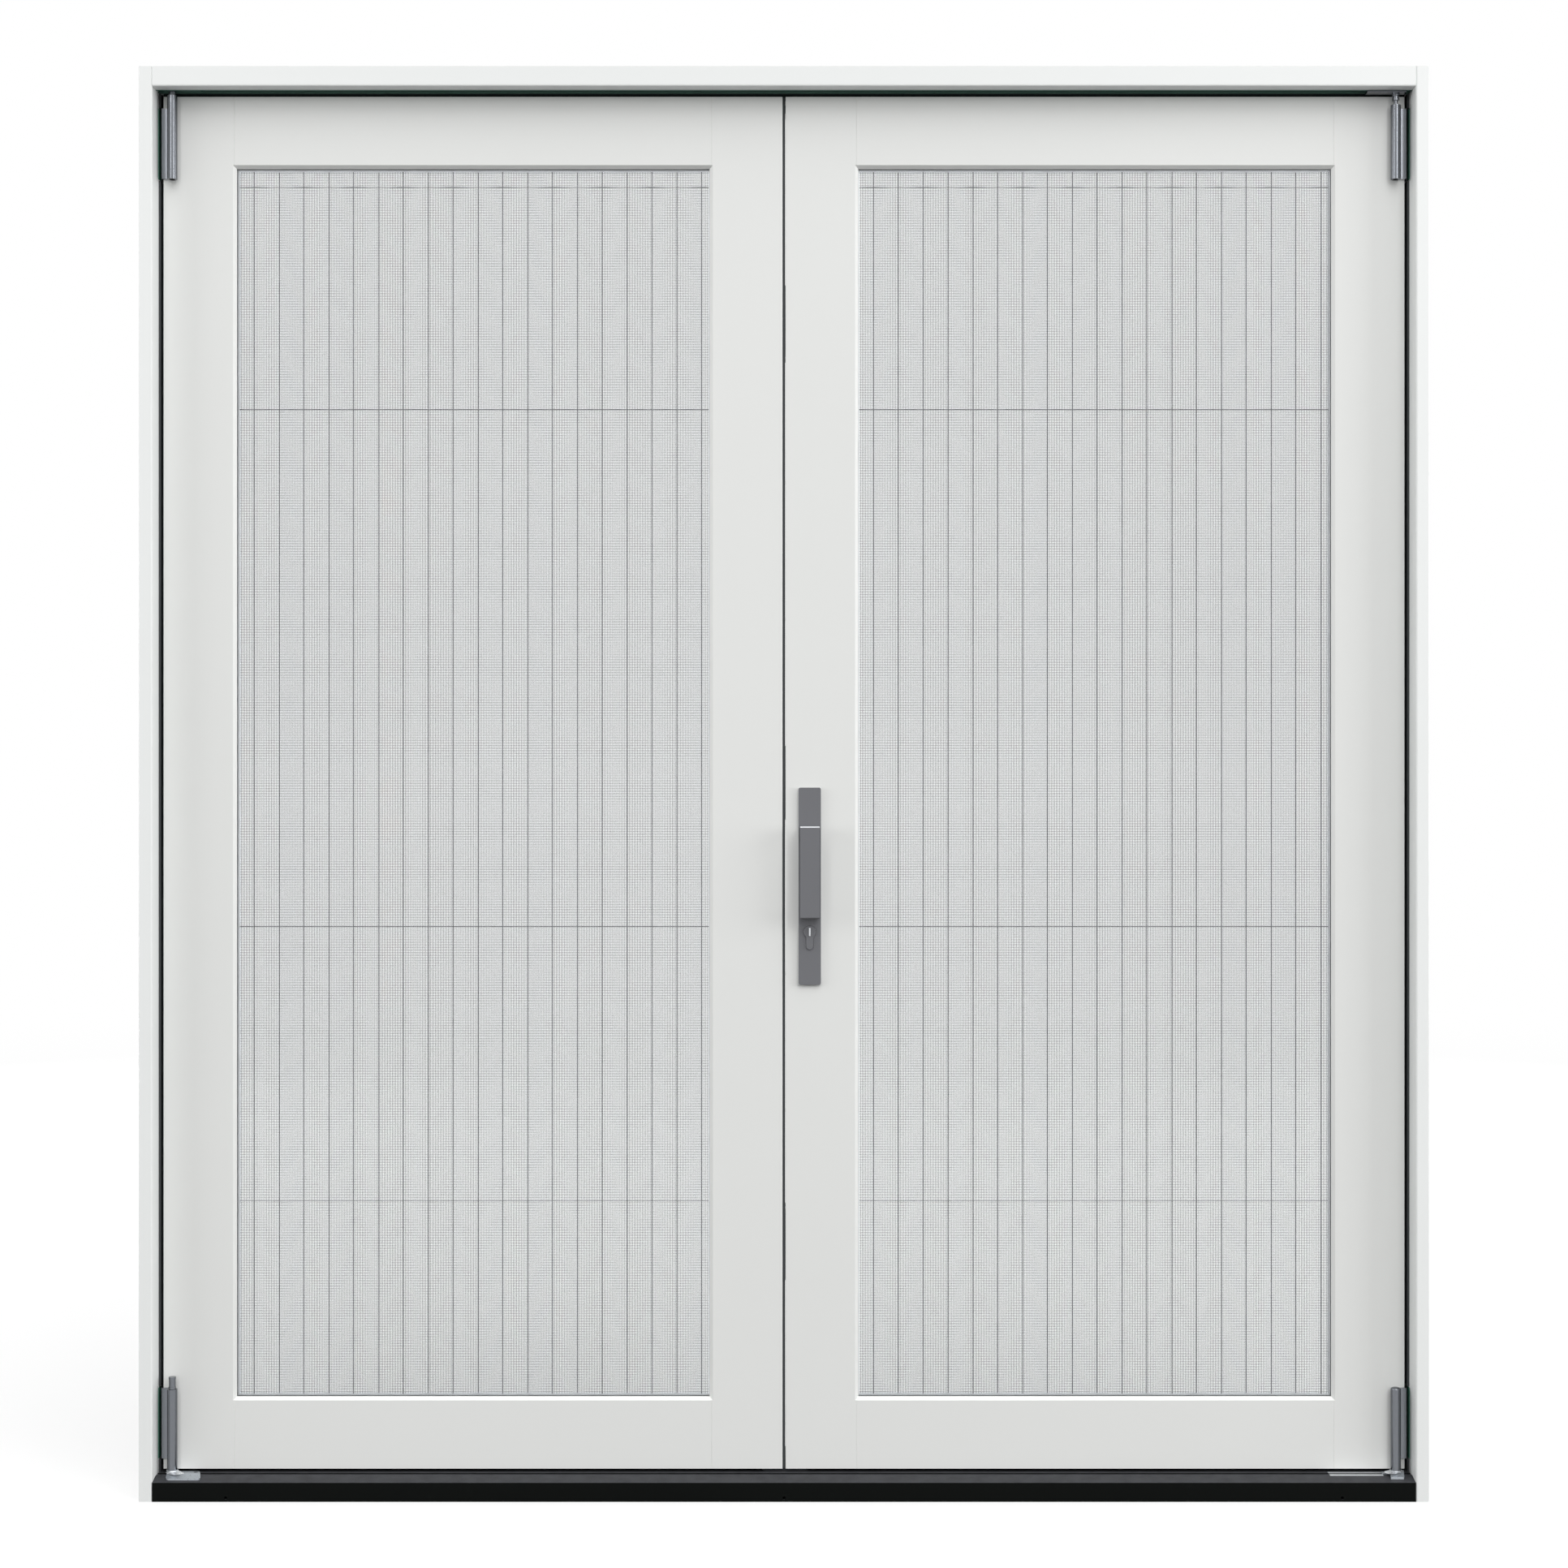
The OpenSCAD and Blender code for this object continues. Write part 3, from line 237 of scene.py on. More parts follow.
class SurfaceGroups:
    """Shader node groups that several finishes share."""

    def __init__(self) -> None:
        """Build the groups once."""
        self.coat = self._coat_skin()
        self.brushed = self._brushed_grain()
        self.dust = self._settled_dust()

    @staticmethod
    def _start(name: str, inputs: dict[str, str], outputs: dict[str, str]) -> tuple[ShaderGraph, Node, Node]:
        """Make an empty group with its sockets.

        Args:
            name: The group's name.
            inputs: Socket type of each input.
            outputs: Socket type of each output.

        Returns:
            The group's graph, and its input and output nodes.
        """
        group = bpy.data.node_groups.new(name, "ShaderNodeTree")
        for way, sockets in (("INPUT", inputs), ("OUTPUT", outputs)):
            for label, kind in sockets.items():
                group.interface.new_socket(label, in_out=way, socket_type=kind)
        graph = ShaderGraph(group)
        return graph, graph.add("NodeGroupInput"), graph.add("NodeGroupOutput")

    @staticmethod
    def _vary(graph: ShaderGraph, source: Node, target: Node, cloud: NodeSocket) -> None:
        """Let a noise vary a group's colour and gloss about their middle.

        Args:
            graph: The group's graph.
            source: The group's input node.
            target: The group's output node.
            cloud: The noise, 0 to 1.
        """
        given = source.outputs
        centred = graph.math("SUBTRACT", cloud, 0.5)
        shade = graph.add("ShaderNodeVectorMath", operation="SCALE", Vector=given["Colour"],
                          Scale=graph.math("MULTIPLY_ADD", centred, given["Tone"], 1.0))
        graph.set(target, Colour=shade.outputs[0],
                  Roughness=graph.math("MULTIPLY_ADD", centred, given["Uneven"], given["Gloss"]))

    def _coat_skin(self) -> NodeTree:
        """Skin of a sprayed or moulded surface: soft stipple, cloudy tone and uneven gloss.

        Returns:
            The group.
        """
        graph, source, target = self._start("coat_skin", {**SKIN_INPUTS, "Stipple": VALUE}, SKIN_OUTPUTS)
        place = source.outputs["Vector"]
        self._vary(graph, source, target, graph.noise(place, scale=5.0, detail=4.0))
        graph.set(target, Height=graph.noise(place, scale=source.outputs["Stipple"], detail=2.0))
        return graph.tree

    def _brushed_grain(self) -> NodeTree:
        """Grain of drawn or brushed metal: fine streaks in tone, gloss and height.

        Returns:
            The group.
        """
        graph, source, target = self._start("brushed_grain", SKIN_INPUTS, SKIN_OUTPUTS)
        streak = graph.noise(source.outputs["Vector"], scale=1.0, detail=3.0)
        self._vary(graph, source, target, streak)
        graph.set(target, Height=streak)
        return graph.tree

    def _settled_dust(self) -> NodeTree:
        """Patchy dust on faces that look upwards, which also paints the sheen that lit top faces show.

        Returns:
            The group.
        """
        inputs = {"Colour": COLOUR, "Dust": COLOUR, "Facing": VECTOR, "Vector": VECTOR}
        graph, source, target = self._start("settled_dust", inputs, {"Colour": COLOUR})
        given = source.outputs
        parts = graph.add("ShaderNodeSeparateXYZ", Vector=given["Facing"])
        upward = graph.add("ShaderNodeMapRange", Value=parts.outputs["Z"], From_Min=0.6, From_Max=0.95)
        patchy = graph.remap(graph.noise(given["Vector"], scale=60.0, detail=5.0), low=0.55, high=1.25)
        share = graph.math("MULTIPLY", upward.outputs["Result"], patchy, clamp=True)
        mix = graph.add("ShaderNodeMixRGB", Fac=share, Color1=given["Colour"], Color2=given["Dust"])
        graph.set(target, Colour=mix.outputs[0])
        return graph.tree


def new_material(name: str) -> tuple[Material, ShaderGraph, Node]:
    """Make a node material with a Principled shader.

    Args:
        name: The material's name.

    Returns:
        The material, its graph and its shader.
    """
    material = bpy.data.materials.new(name)
    material.use_nodes = True
    graph = ShaderGraph(material.node_tree)
    return material, graph, material.node_tree.nodes["Principled BSDF"]


@dataclass(frozen=True)
class CoatFinish:
    """A painted, powder-coated, rubber or moulded plastic surface."""

    name: str
    colour: Colour
    gloss: float
    stipple: float = 900.0
    tone: float = 0.03
    uneven: float = 0.08
    relief: float = 0.03
    depth: float = 0.2 * MM
    specular: float = 0.5
    # Colour that upward faces take: dust, and on the sill also painted sheen where its top faces catch the
    # light.
    dust: Colour | None = None

    def build(self, groups: SurfaceGroups) -> Material:
        """Make the material.

        Args:
            groups: The shared node groups.

        Returns:
            The material.
        """
        material, graph, shader = new_material(self.name)
        place = graph.place()
        skin = graph.add("ShaderNodeGroup", node_tree=groups.coat, Vector=place, Colour=(*self.colour, 1.0),
                         Stipple=self.stipple, Tone=self.tone, Gloss=self.gloss, Uneven=self.uneven).outputs
        colour = skin["Colour"]
        # Upward faces lighten towards this colour: partly dust, partly painted sheen of light from above.
        if self.dust is not None:
            facing = graph.add("ShaderNodeNewGeometry").outputs["Normal"]
            lying = graph.add("ShaderNodeGroup", node_tree=groups.dust, Vector=place, Facing=facing,
                              Colour=colour, Dust=(*self.dust, 1.0))
            colour = lying.outputs["Colour"]
        graph.set(shader, Base_Color=colour, Roughness=skin["Roughness"], Specular_IOR_Level=self.specular,
                  Normal=graph.bump(skin["Height"], self.relief, self.depth))
        return material


@dataclass(frozen=True)
class MetalFinish:
    """A drawn, brushed or plated metal surface, whose grain streaks along the axis with the lowest scale."""

    name: str
    colour: Colour
    gloss: float
    grain: Triple = (1400.0, 1400.0, 60.0)
    tone: float = 0.15
    uneven: float = 0.18
    relief: float = 0.05
    depth: float = 0.1 * MM
    metallic: float = 1.0

    def build(self, groups: SurfaceGroups) -> Material:
        """Make the material.

        Args:
            groups: The shared node groups.

        Returns:
            The material.
        """
        material, graph, shader = new_material(self.name)
        skin = graph.add("ShaderNodeGroup", node_tree=groups.brushed, Vector=graph.scaled(self.grain),
                         Colour=(*self.colour, 1.0), Tone=self.tone, Gloss=self.gloss,
                         Uneven=self.uneven).outputs
        graph.set(shader, Base_Color=skin["Colour"], Roughness=skin["Roughness"], Metallic=self.metallic,
                  Normal=graph.bump(skin["Height"], self.relief, self.depth))
        return material


@dataclass(frozen=True)
class GlassFinish:
    """Clear float glass with a faint waviness."""

    name: str
    colour: Colour
    wave: float = 0.02
    wave_scale: float = 6.0
    depth: float = 0.5 * MM
    ior: float = 1.5

    def build(self, groups: SurfaceGroups) -> Material:
        """Make the material.

        Args:
            groups: The shared node groups, which glass doesn't need.

        Returns:
            The material.
        """
        material, graph, shader = new_material(self.name)
        wave = graph.noise(graph.place(), self.wave_scale, detail=1.0)
        graph.set(shader, Base_Color=(*self.colour, 1.0), Roughness=0.0, Transmission_Weight=1.0,
                  IOR=self.ior, Normal=graph.bump(wave, self.wave, self.depth))
        return material


Finish = CoatFinish | MetalFinish | GlassFinish
FINISHES: dict[Slot, Finish] = {
    Slot.WHITE_PAINT: CoatFinish("white_paint", linear(237, 239, 238), 0.42, tone=0.015, relief=0.05),
    # The sill's upward faces are lighter: dust, and also painted sheen of the lit top faces.
    Slot.BLACK_SILL: CoatFinish("black_sill", linear(6, 8, 7), 0.42, stipple=2200.0, tone=0.25, relief=0.12,
                                specular=0.06, dust=linear(62, 63, 66)),
    Slot.DARK_TRACK: CoatFinish("dark_track", linear(80, 114, 103), 0.38, stipple=1500.0, tone=0.2),
    Slot.SILVER: MetalFinish("silver_rail", linear(214, 217, 220), 0.36, grain=(60.0, 1600.0, 1600.0),
                             metallic=0.6),
    Slot.STEEL: MetalFinish("satin_steel", linear(118, 121, 126), 0.18, uneven=0.08),
    Slot.SEAL: CoatFinish("black_rubber", linear(64, 67, 69), 0.62, stipple=1200.0, tone=0.2, specular=0.3,
                          dust=linear(84, 85, 86)),
    Slot.GREEN_PACKER: CoatFinish("green_packer", linear(52, 104, 86), 0.5, stipple=1500.0, tone=0.15),
    Slot.GLASS: GlassFinish("clear_glass", (0.985, 0.992, 0.995)),
    Slot.MESH_WIRE: MetalFinish("screen_wire", linear(98, 100, 104), 0.45, grain=(300.0, 300.0, 300.0)),
    Slot.SPACER_BAR: MetalFinish("spacer_bar", linear(224, 227, 230), 0.38, grain=(900.0, 900.0, 900.0)),
    Slot.HANDLE_GREY: CoatFinish("handle_grey", linear(105, 106, 110), 0.42, stipple=2600.0, tone=0.06,
                                 relief=0.06),
    Slot.NYLON: CoatFinish("nylon", linear(226, 223, 210), 0.5),
}
# The leaves take a darker copy of the frame's white paint: painted shade of the recess they sit in.
SHADED_LEAF_PAINT = CoatFinish("leaf_paint", linear(230, 231, 229), 0.42, tone=0.015, relief=0.05)
EVEN_GRAIN = (700.0, 700.0, 700.0)
# The cups round the lower pins take a brighter copy of the plates' zinc: a painted glint.
GLINT_ZINC = MetalFinish("bright_zinc", linear(222, 225, 228), 0.25, grain=EVEN_GRAIN, metallic=0.7)
SATIN_ZINC = MetalFinish("satin_zinc", linear(172, 178, 184), 0.3, grain=EVEN_GRAIN, metallic=0.7)
# Near-black matte finish: the head brush's pile, partly painted shade of its deep gap, and the dark film of
# painted shade in the rail slot.
PILE_AND_PAINTED_SHADE = CoatFinish("black_pile", linear(22, 29, 27), 0.85, stipple=3000.0, tone=0.3, relief=0.3,
                        specular=0.1)
OWN_FINISHES: dict[str, Finish] = {
    "pivot_plate": SATIN_ZINC,
    "shoe_plate": SATIN_ZINC,
    "floor_cup": GLINT_ZINC,
    "guide_cup": GLINT_ZINC,
    "key_plug": FINISHES[Slot.HANDLE_GREY],
    "head_brush": PILE_AND_PAINTED_SHADE,
    "slot_lining": PILE_AND_PAINTED_SHADE,
    **{side.node(part): SHADED_LEAF_PAINT for side in Side
       for part in ("hinge_stile", "meeting_stile", "top_rail", "bottom_rail", "beads")},
}


class Finishes:
    """All the finishes, made once."""

    def __init__(self) -> None:
        """Build every material."""
        groups = SurfaceGroups()
        every = dict.fromkeys((*FINISHES.values(), *OWN_FINISHES.values()))
        self._made = {finish: finish.build(groups) for finish in every}

    def __getitem__(self, slot: Slot) -> Material:
        """The material of a slot."""
        return self._made[FINISHES[slot]]

    def dress(self, piece: Object, name: str, slot: Slot) -> None:
        """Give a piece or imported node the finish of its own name, or else its slot's."""
        piece.data.materials.clear()
        piece.data.materials.append(self._made[OWN_FINISHES.get(name, FINISHES[slot])])

    def fit(self, piece: Object, body: str, slot: Slot) -> None:
        """Dress a new piece and mount it on its body."""
        self.dress(piece, piece.name, slot)
        mount(piece, body)


INPUT_KINDS = {float: VALUE, tuple: VECTOR, Material: "NodeSocketMaterial"}


class GeometryTree(NodeGraph):
    """A geometry node tree with named inputs, which is evaluated once."""

    def __init__(self, name: str, **values: object) -> None:
        """Start a tree that takes geometry and named values.

        Args:
            name: The tree's name.
            values: What the modifier gives each input, by name, with underscores for spaces.
        """
        super().__init__(bpy.data.node_groups.new(name, "GeometryNodeTree"))
        new_socket = self.tree.interface.new_socket
        for way in ("OUTPUT", "INPUT"):
            new_socket("Geometry", in_out=way, socket_type="NodeSocketGeometry")
        self.values: dict[str, object] = {}
        for label, value in values.items():
            kind = INPUT_KINDS[type(value)]
            socket = new_socket(label.replace("_", " "), in_out="INPUT", socket_type=kind)
            self.values[socket.identifier] = value
        self.given = self.add("NodeGroupInput").outputs

    def bake(self, name: str, base: Mesh, *parts: NodeSocket) -> Object:
        """End the tree, evaluate it and keep the result as a plain mesh object.

        Args:
            name: The new object's name.
            base: Mesh that the tree takes.
            parts: Geometry in the tree that makes up the result.

        Returns:
            The finished object, with no modifier.
        """
        joined = self.add("GeometryNodeJoinGeometry")
        for part in parts:
            self.set(joined, Geometry=part)
        real = self.add("GeometryNodeRealizeInstances", Geometry=joined.outputs[0])
        dressed = self.add("GeometryNodeSetMaterial", Geometry=real.outputs[0],
                           Material=self.given["Material"])
        self.add("NodeGroupOutput", Geometry=dressed.outputs[0])
        carrier = new_object(name + "_carrier", base)
        modifier = carrier.modifiers.new(name, "NODES")
        modifier.node_group = self.tree
        for identifier, value in self.values.items():
            modifier[identifier] = value
        bpy.context.view_layer.update()
        graph = bpy.context.evaluated_depsgraph_get()
        mesh = bpy.data.meshes.new_from_object(carrier.evaluated_get(graph))
        mesh.name = name
        bpy.data.objects.remove(carrier)
        return new_object(name, mesh)


@dataclass
class PleatedScreen:
    """Fine square wire screen in shallow pleats, in the cavity of one leaf's glass.

    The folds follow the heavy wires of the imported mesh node. The radius and the setback of the lying wires
    are shares of the wire's thickness.
    """

    side: Side
    pitch: float = 2.32 * MM
    wire: float = 0.5 * MM
    fold_pitch: float = 34.8 * MM
    fold_shift: float = 5 * MM
    fold_edge: float = 12 * MM
    fold_wire: float = 0.9 * MM
    lying_radius: float = 0.6
    lying_setback: float = 0.4

    def build(self, material: Material) -> Object:
        """Make the standing and lying wires.

        Args:
            material: The wire's finish.

        Returns:
            The screen as one mesh.
        """
        low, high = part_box(self.side.node("mesh"))
        width, depth = high.x - low.x, high.y - low.y - self.fold_wire
        count = int((width - 2 * self.fold_edge) / self.fold_pitch) + 1
        first = (low.x + high.x) / 2 + self.fold_shift - (count - 1) / 2 * self.fold_pitch
        folds = [first + step * self.fold_pitch for step in range(count)]
        tree = GeometryTree(
            self.side.node("pleated_screen"), Left=low.x, Bottom=low.z, Middle=(low.y + high.y) / 2,
            Width=width, Height=high.z - low.z, Pitch=self.pitch, Wire=self.wire, First_Fold=first,
            Fold_Pitch=self.fold_pitch, Depth=depth, Material=material)
        zigzag = self._zigzag([low.x, *folds, high.x], depth)
        return tree.bake(self.side.node("wire_screen"), zigzag, self._standing(tree), self._lying(tree))

    def _zigzag(self, stations: Sequence[float], depth: float) -> Mesh:
        """Line that a lying wire follows, through every fold.

        Args:
            stations: X of the left end, the folds and the right end.
            depth: Depth of the pleats.

        Returns:
            A mesh of edges about Y = 0, with the first fold forward.
        """
        points = []
        for x in stations:
            turn = (x - stations[1]) / self.fold_pitch
            back = abs((turn + 1.0) % 2.0 - 1.0)
            points.append((x, (back - 0.5) * depth, 0.0))
        mesh = bpy.data.meshes.new(self.side.node("zigzag"))
        mesh.from_pydata(points, [(step, step + 1) for step in range(len(points) - 1)], [])
        return mesh

    @staticmethod
    def _standing(tree: GeometryTree) -> NodeSocket:
        """Row of standing wires that follows the pleats.

        Args:
            tree: The tree to add to.

        Returns:
            The wires as instances.
        """
        given, total = tree.given, tree.math
        start = tree.add("ShaderNodeCombineXYZ", X=total("ADD", given["Left"], given["Pitch"]),
                         Z=total("ADD", given["Bottom"], total("DIVIDE", given["Height"], 2.0)))
        step = tree.add("ShaderNodeCombineXYZ", X=given["Pitch"])
        row = tree.add("GeometryNodeMeshLine", Start_Location=start.outputs[0], Offset=step.outputs[0],
                       Count=total("FLOOR", total("DIVIDE", given["Width"], given["Pitch"])))
        place = tree.add("ShaderNodeSeparateXYZ", Vector=tree.add("GeometryNodeInputPosition").outputs[0])
        along = total("SUBTRACT", place.outputs["X"], given["First Fold"])
        swing = total("PINGPONG", along, given["Fold Pitch"])
        share = total("SUBTRACT", total("DIVIDE", swing, given["Fold Pitch"]), 0.5)
        back = total("ADD", total("MULTIPLY", share, given["Depth"]), given["Middle"])
        shift = tree.add("ShaderNodeCombineXYZ",
                         Y=total("SUBTRACT", back, total("MULTIPLY", given["Wire"], 0.5)))
        pleated = tree.add("GeometryNodeSetPosition", Geometry=row.outputs[0], Offset=shift.outputs[0])
        size = tree.add("ShaderNodeCombineXYZ", X=given["Wire"], Y=given["Wire"], Z=given["Height"])
        bar = tree.add("GeometryNodeMeshCube", Size=size.outputs[0])
        placed = tree.add("GeometryNodeInstanceOnPoints", Points=pleated.outputs[0], Instance=bar.outputs[0])
        return placed.outputs[0]

    def _lying(self, tree: GeometryTree) -> NodeSocket:
        """Column of lying wires, each swept along the zigzag.

        Args:
            tree: The tree to add to.

        Returns:
            The wires as instances.
        """
        given, total = tree.given, tree.math
        path = tree.add("GeometryNodeMeshToCurve", Mesh=given["Geometry"])
        ring = tree.add("GeometryNodeCurvePrimitiveCircle", Resolution=3,
                        Radius=total("MULTIPLY", given["Wire"], self.lying_radius))
        wire = tree.add("GeometryNodeCurveToMesh", Curve=path.outputs[0], Profile_Curve=ring.outputs[0],
                        Fill_Caps=True)
        back = total("MULTIPLY", given["Wire"], self.lying_setback)
        start = tree.add("ShaderNodeCombineXYZ", Y=total("ADD", given["Middle"], back),
                         Z=total("ADD", given["Bottom"], given["Pitch"]))
        step = tree.add("ShaderNodeCombineXYZ", Z=given["Pitch"])
        column = tree.add("GeometryNodeMeshLine", Start_Location=start.outputs[0], Offset=step.outputs[0],
                          Count=total("FLOOR", total("DIVIDE", given["Height"], given["Pitch"])))
        placed = tree.add("GeometryNodeInstanceOnPoints", Points=column.outputs[0], Instance=wire.outputs[0])
        return placed.outputs[0]


def mesh_object(name: str, points: Sequence[Vector], faces: Sequence[Sequence[int]],
                bevel: float = 0.0) -> Object:
    """Make a closed mesh object with its faces outwards.

    Args:
        name: The object's name.
        points: Corners in the frame's coordinates.
        faces: Corner numbers of each face.
        bevel: Width of the rounded edges, none by default.

    Returns:
        The object.
    """
    mesh = bpy.data.meshes.new(name)
    mesh.from_pydata(points, [], faces)
    shape = bmesh.new()
    shape.from_mesh(mesh)
    if bevel > 0.0:
        bmesh.ops.bevel(shape, geom=list(shape.edges), offset=bevel, segments=3, profile=0.5, affect="EDGES")
    bmesh.ops.recalc_face_normals(shape, faces=list(shape.faces))
    shape.to_mesh(mesh)
    shape.free()
    return new_object(name, mesh)


def box_object(name: str, low: Vector, high: Vector, bevel: float = 0.0) -> Object:
    """Make a box between two corners.

    Args:
        name: The object's name.
        low: The corner with the lowest coordinates.
        high: The corner with the highest coordinates.
        bevel: Width of the rounded edges, none by default.

    Returns:
        The box.
    """
    corners = [Vector((x, y, z)) for x in (low.x, high.x) for y in (low.y, high.y) for z in (low.z, high.z)]
    faces = [(0, 1, 3, 2), (4, 6, 7, 5), (0, 4, 5, 1), (2, 3, 7, 6), (0, 2, 6, 4), (1, 5, 7, 3)]
    return mesh_object(name, corners, faces, bevel)


@dataclass(frozen=True)
class TurnedRing:
    """A ring turned round an upright axis, which may flare out to one side.

    Each point of its section has a radius, a height over the foot and a share of the flare.
    """

    name: str
    body: str
    foot: Vector
    section: tuple[Triple, ...]
    flare: Pair = (0.0, 0.0)
    segments: int = 48

    def build(self, finishes: Finishes) -> None:
        """Turn the section round the axis.

        Args:
            finishes: The finishes to dress the ring in.
        """
        count = len(self.section)
        points, faces = [], []
        for step in range(self.segments):
            angle = 2 * math.pi * step / self.segments
            way = Vector((math.cos(angle), math.sin(angle), 0.0))
            lean = max(0.0, way.x * self.flare[0] + way.y * self.flare[1])
            reach = lean ** 2 / (math.hypot(*self.flare) or 1.0)
            points += [self.foot + (radius + share * reach) * way + Vector((0.0, 0.0, rise))
                       for radius, rise, share in self.section]
            here, there = step * count, (step + 1) % self.segments * count
            faces += [(here + i, here + (i + 1) % count, there + (i + 1) % count, there + i)
                      for i in range(count)]
        piece = mesh_object(self.name, points, faces)
        finishes.fit(piece, self.body, Slot.STEEL)


@dataclass(frozen=True)
class PlateEnd:
    """One end of a packed foot plate, and how far its front and back corners move along X."""

    x: float
    front: float = 0.0
    back: float = 0.0


@dataclass(frozen=True)
class FootPlate:
    """A packed foot plate with skewed ends, and rounded corners but for the one at the left of the back."""

    name: str
    node: str
    body: str
    slot: Slot
    left: PlateEnd
    right: PlateEnd
    corner: float
    segments: int = 6
    touch: float = 0.1 * MM
    merge: float = 0.001 * MM
    flat: float = math.radians(1.0)

    def build(self, finishes: Finishes, nodes: dict[str, Object]) -> None:
        """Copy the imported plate, skew its ends, round its corners and put it in the plate's place.

        Args:
            finishes: The finishes to dress it in.
            nodes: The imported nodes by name.
        """
        packed = nodes[self.node]
        mesh = packed.data.copy()
        mesh.name = self.name
        mesh.transform(packed.matrix_world)
        shape = bmesh.new()
        shape.from_mesh(mesh)
        bmesh.ops.remove_doubles(shape, verts=list(shape.verts), dist=self.merge)
        bmesh.ops.dissolve_limit(shape, angle_limit=self.flat, verts=list(shape.verts),
                                 edges=list(shape.edges))
        corners = []
        for end in (self.left, self.right):
            rim = [vert for vert in shape.verts if abs(vert.co.x - end.x) < self.touch]
            front, back = min(vert.co.y for vert in rim), max(vert.co.y for vert in rim)
            for depth in (front, back) if end is self.right else (front,):
                upright = {vert for vert in rim if abs(vert.co.y - depth) < self.touch}
                corners += [edge for edge in shape.edges if upright.issuperset(edge.verts)]
            for vert in rim:
                share = (vert.co.y - back) / (front - back)
                vert.co.x += end.back + share * (end.front - end.back)
        bmesh.ops.bevel(shape, geom=corners, offset=self.corner, segments=self.segments, profile=0.5,
                        affect="EDGES")
        shape.to_mesh(mesh)
        shape.free()
        piece = new_object(self.name, mesh)
        finishes.fit(piece, self.body, self.slot)
        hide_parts(self.node)


@dataclass(frozen=True)
class Spot:
    """A place for a fastener, and the way that its head faces."""

    at: Vector
    way: Vector


@dataclass(frozen=True)
class HeadSize:
    """Size of a fastener's head, with the share of its radius that is left at the top."""

    radius: float
    height: float
    crown: float


@dataclass
class ScrewSet:
    """Screw heads with a cross recess, or plain pins, at given spots on one body.

    An arm of the recess is given in shares of the head's radius and height, and its turns in degrees.
    """

    name: str
    body: str
    slot: Slot
    spots: list[Spot]
    size: HeadSize
    recess: bool = True
    sides: int = 20
    arm: Triple = (1.35, 0.28, 1.1)
    arm_turns: Pair = (35.0, 125.0)

    def build(self, finishes: Finishes) -> Object:
        """Make the heads as one mesh that rides on the body.

        Args:
            finishes: The finishes to dress them in.

        Returns:
            The heads.
        """
        radius, height = self.size.radius, self.size.height
        long, wide, deep = self.arm
        tree = GeometryTree(
            self.name, Radius=radius, Height=height, Crown=radius * self.size.crown, Lift=(0.0, 0.0, height),
            Arm=(long * radius, wide * radius, deep * height), Material=finishes[self.slot])
        given = tree.given
        cone = tree.add("GeometryNodeMeshCone", Vertices=self.sides, Side_Segments=1, Depth=given["Height"],
                        Radius_Bottom=given["Radius"], Radius_Top=given["Crown"])
        head = cone.outputs["Mesh"]
        if self.recess:
            head = self._cut_cross(tree, head)
        way = tree.add("GeometryNodeInputNamedAttribute", data_type="FLOAT_VECTOR", Name="way")
        turn = tree.add("FunctionNodeAlignRotationToVector", axis="Z", Vector=way.outputs["Attribute"])
        placed = tree.add("GeometryNodeInstanceOnPoints", Points=given["Geometry"], Instance=head,
                          Rotation=turn.outputs["Rotation"])
        piece = tree.bake(self.name, self._points(), placed.outputs[0])
        mount(piece, self.body)
        return piece

    def _cut_cross(self, tree: GeometryTree, head: NodeSocket) -> NodeSocket:
        """Cut a cross recess into the head.

        Args:
            tree: The tree to add to.
            head: The plain head.

        Returns:
            The head with its recess.
        """
        arm = tree.add("GeometryNodeMeshCube", Size=tree.given["Arm"]).outputs["Mesh"]
        cut = tree.add("GeometryNodeMeshBoolean", operation="DIFFERENCE", Mesh_1=head)
        for turn in self.arm_turns:
            moved = tree.add("GeometryNodeTransform", Geometry=arm, Translation=tree.given["Lift"],
                             Rotation=(0.0, 0.0, math.radians(turn)))
            tree.set(cut, Mesh_2=moved.outputs[0])
        return cut.outputs["Mesh"]

    def _points(self) -> Mesh:
        """Points that carry the way each head faces.

        Returns:
            A mesh of loose points.
        """
        mesh = bpy.data.meshes.new(self.name + "_spots")
        mesh.from_pydata([spot.at for spot in self.spots], [], [])
        ways = mesh.attributes.new("way", "FLOAT_VECTOR", "POINT")
        for item, spot in zip(ways.data, self.spots):
            item.vector = spot.way
        return mesh


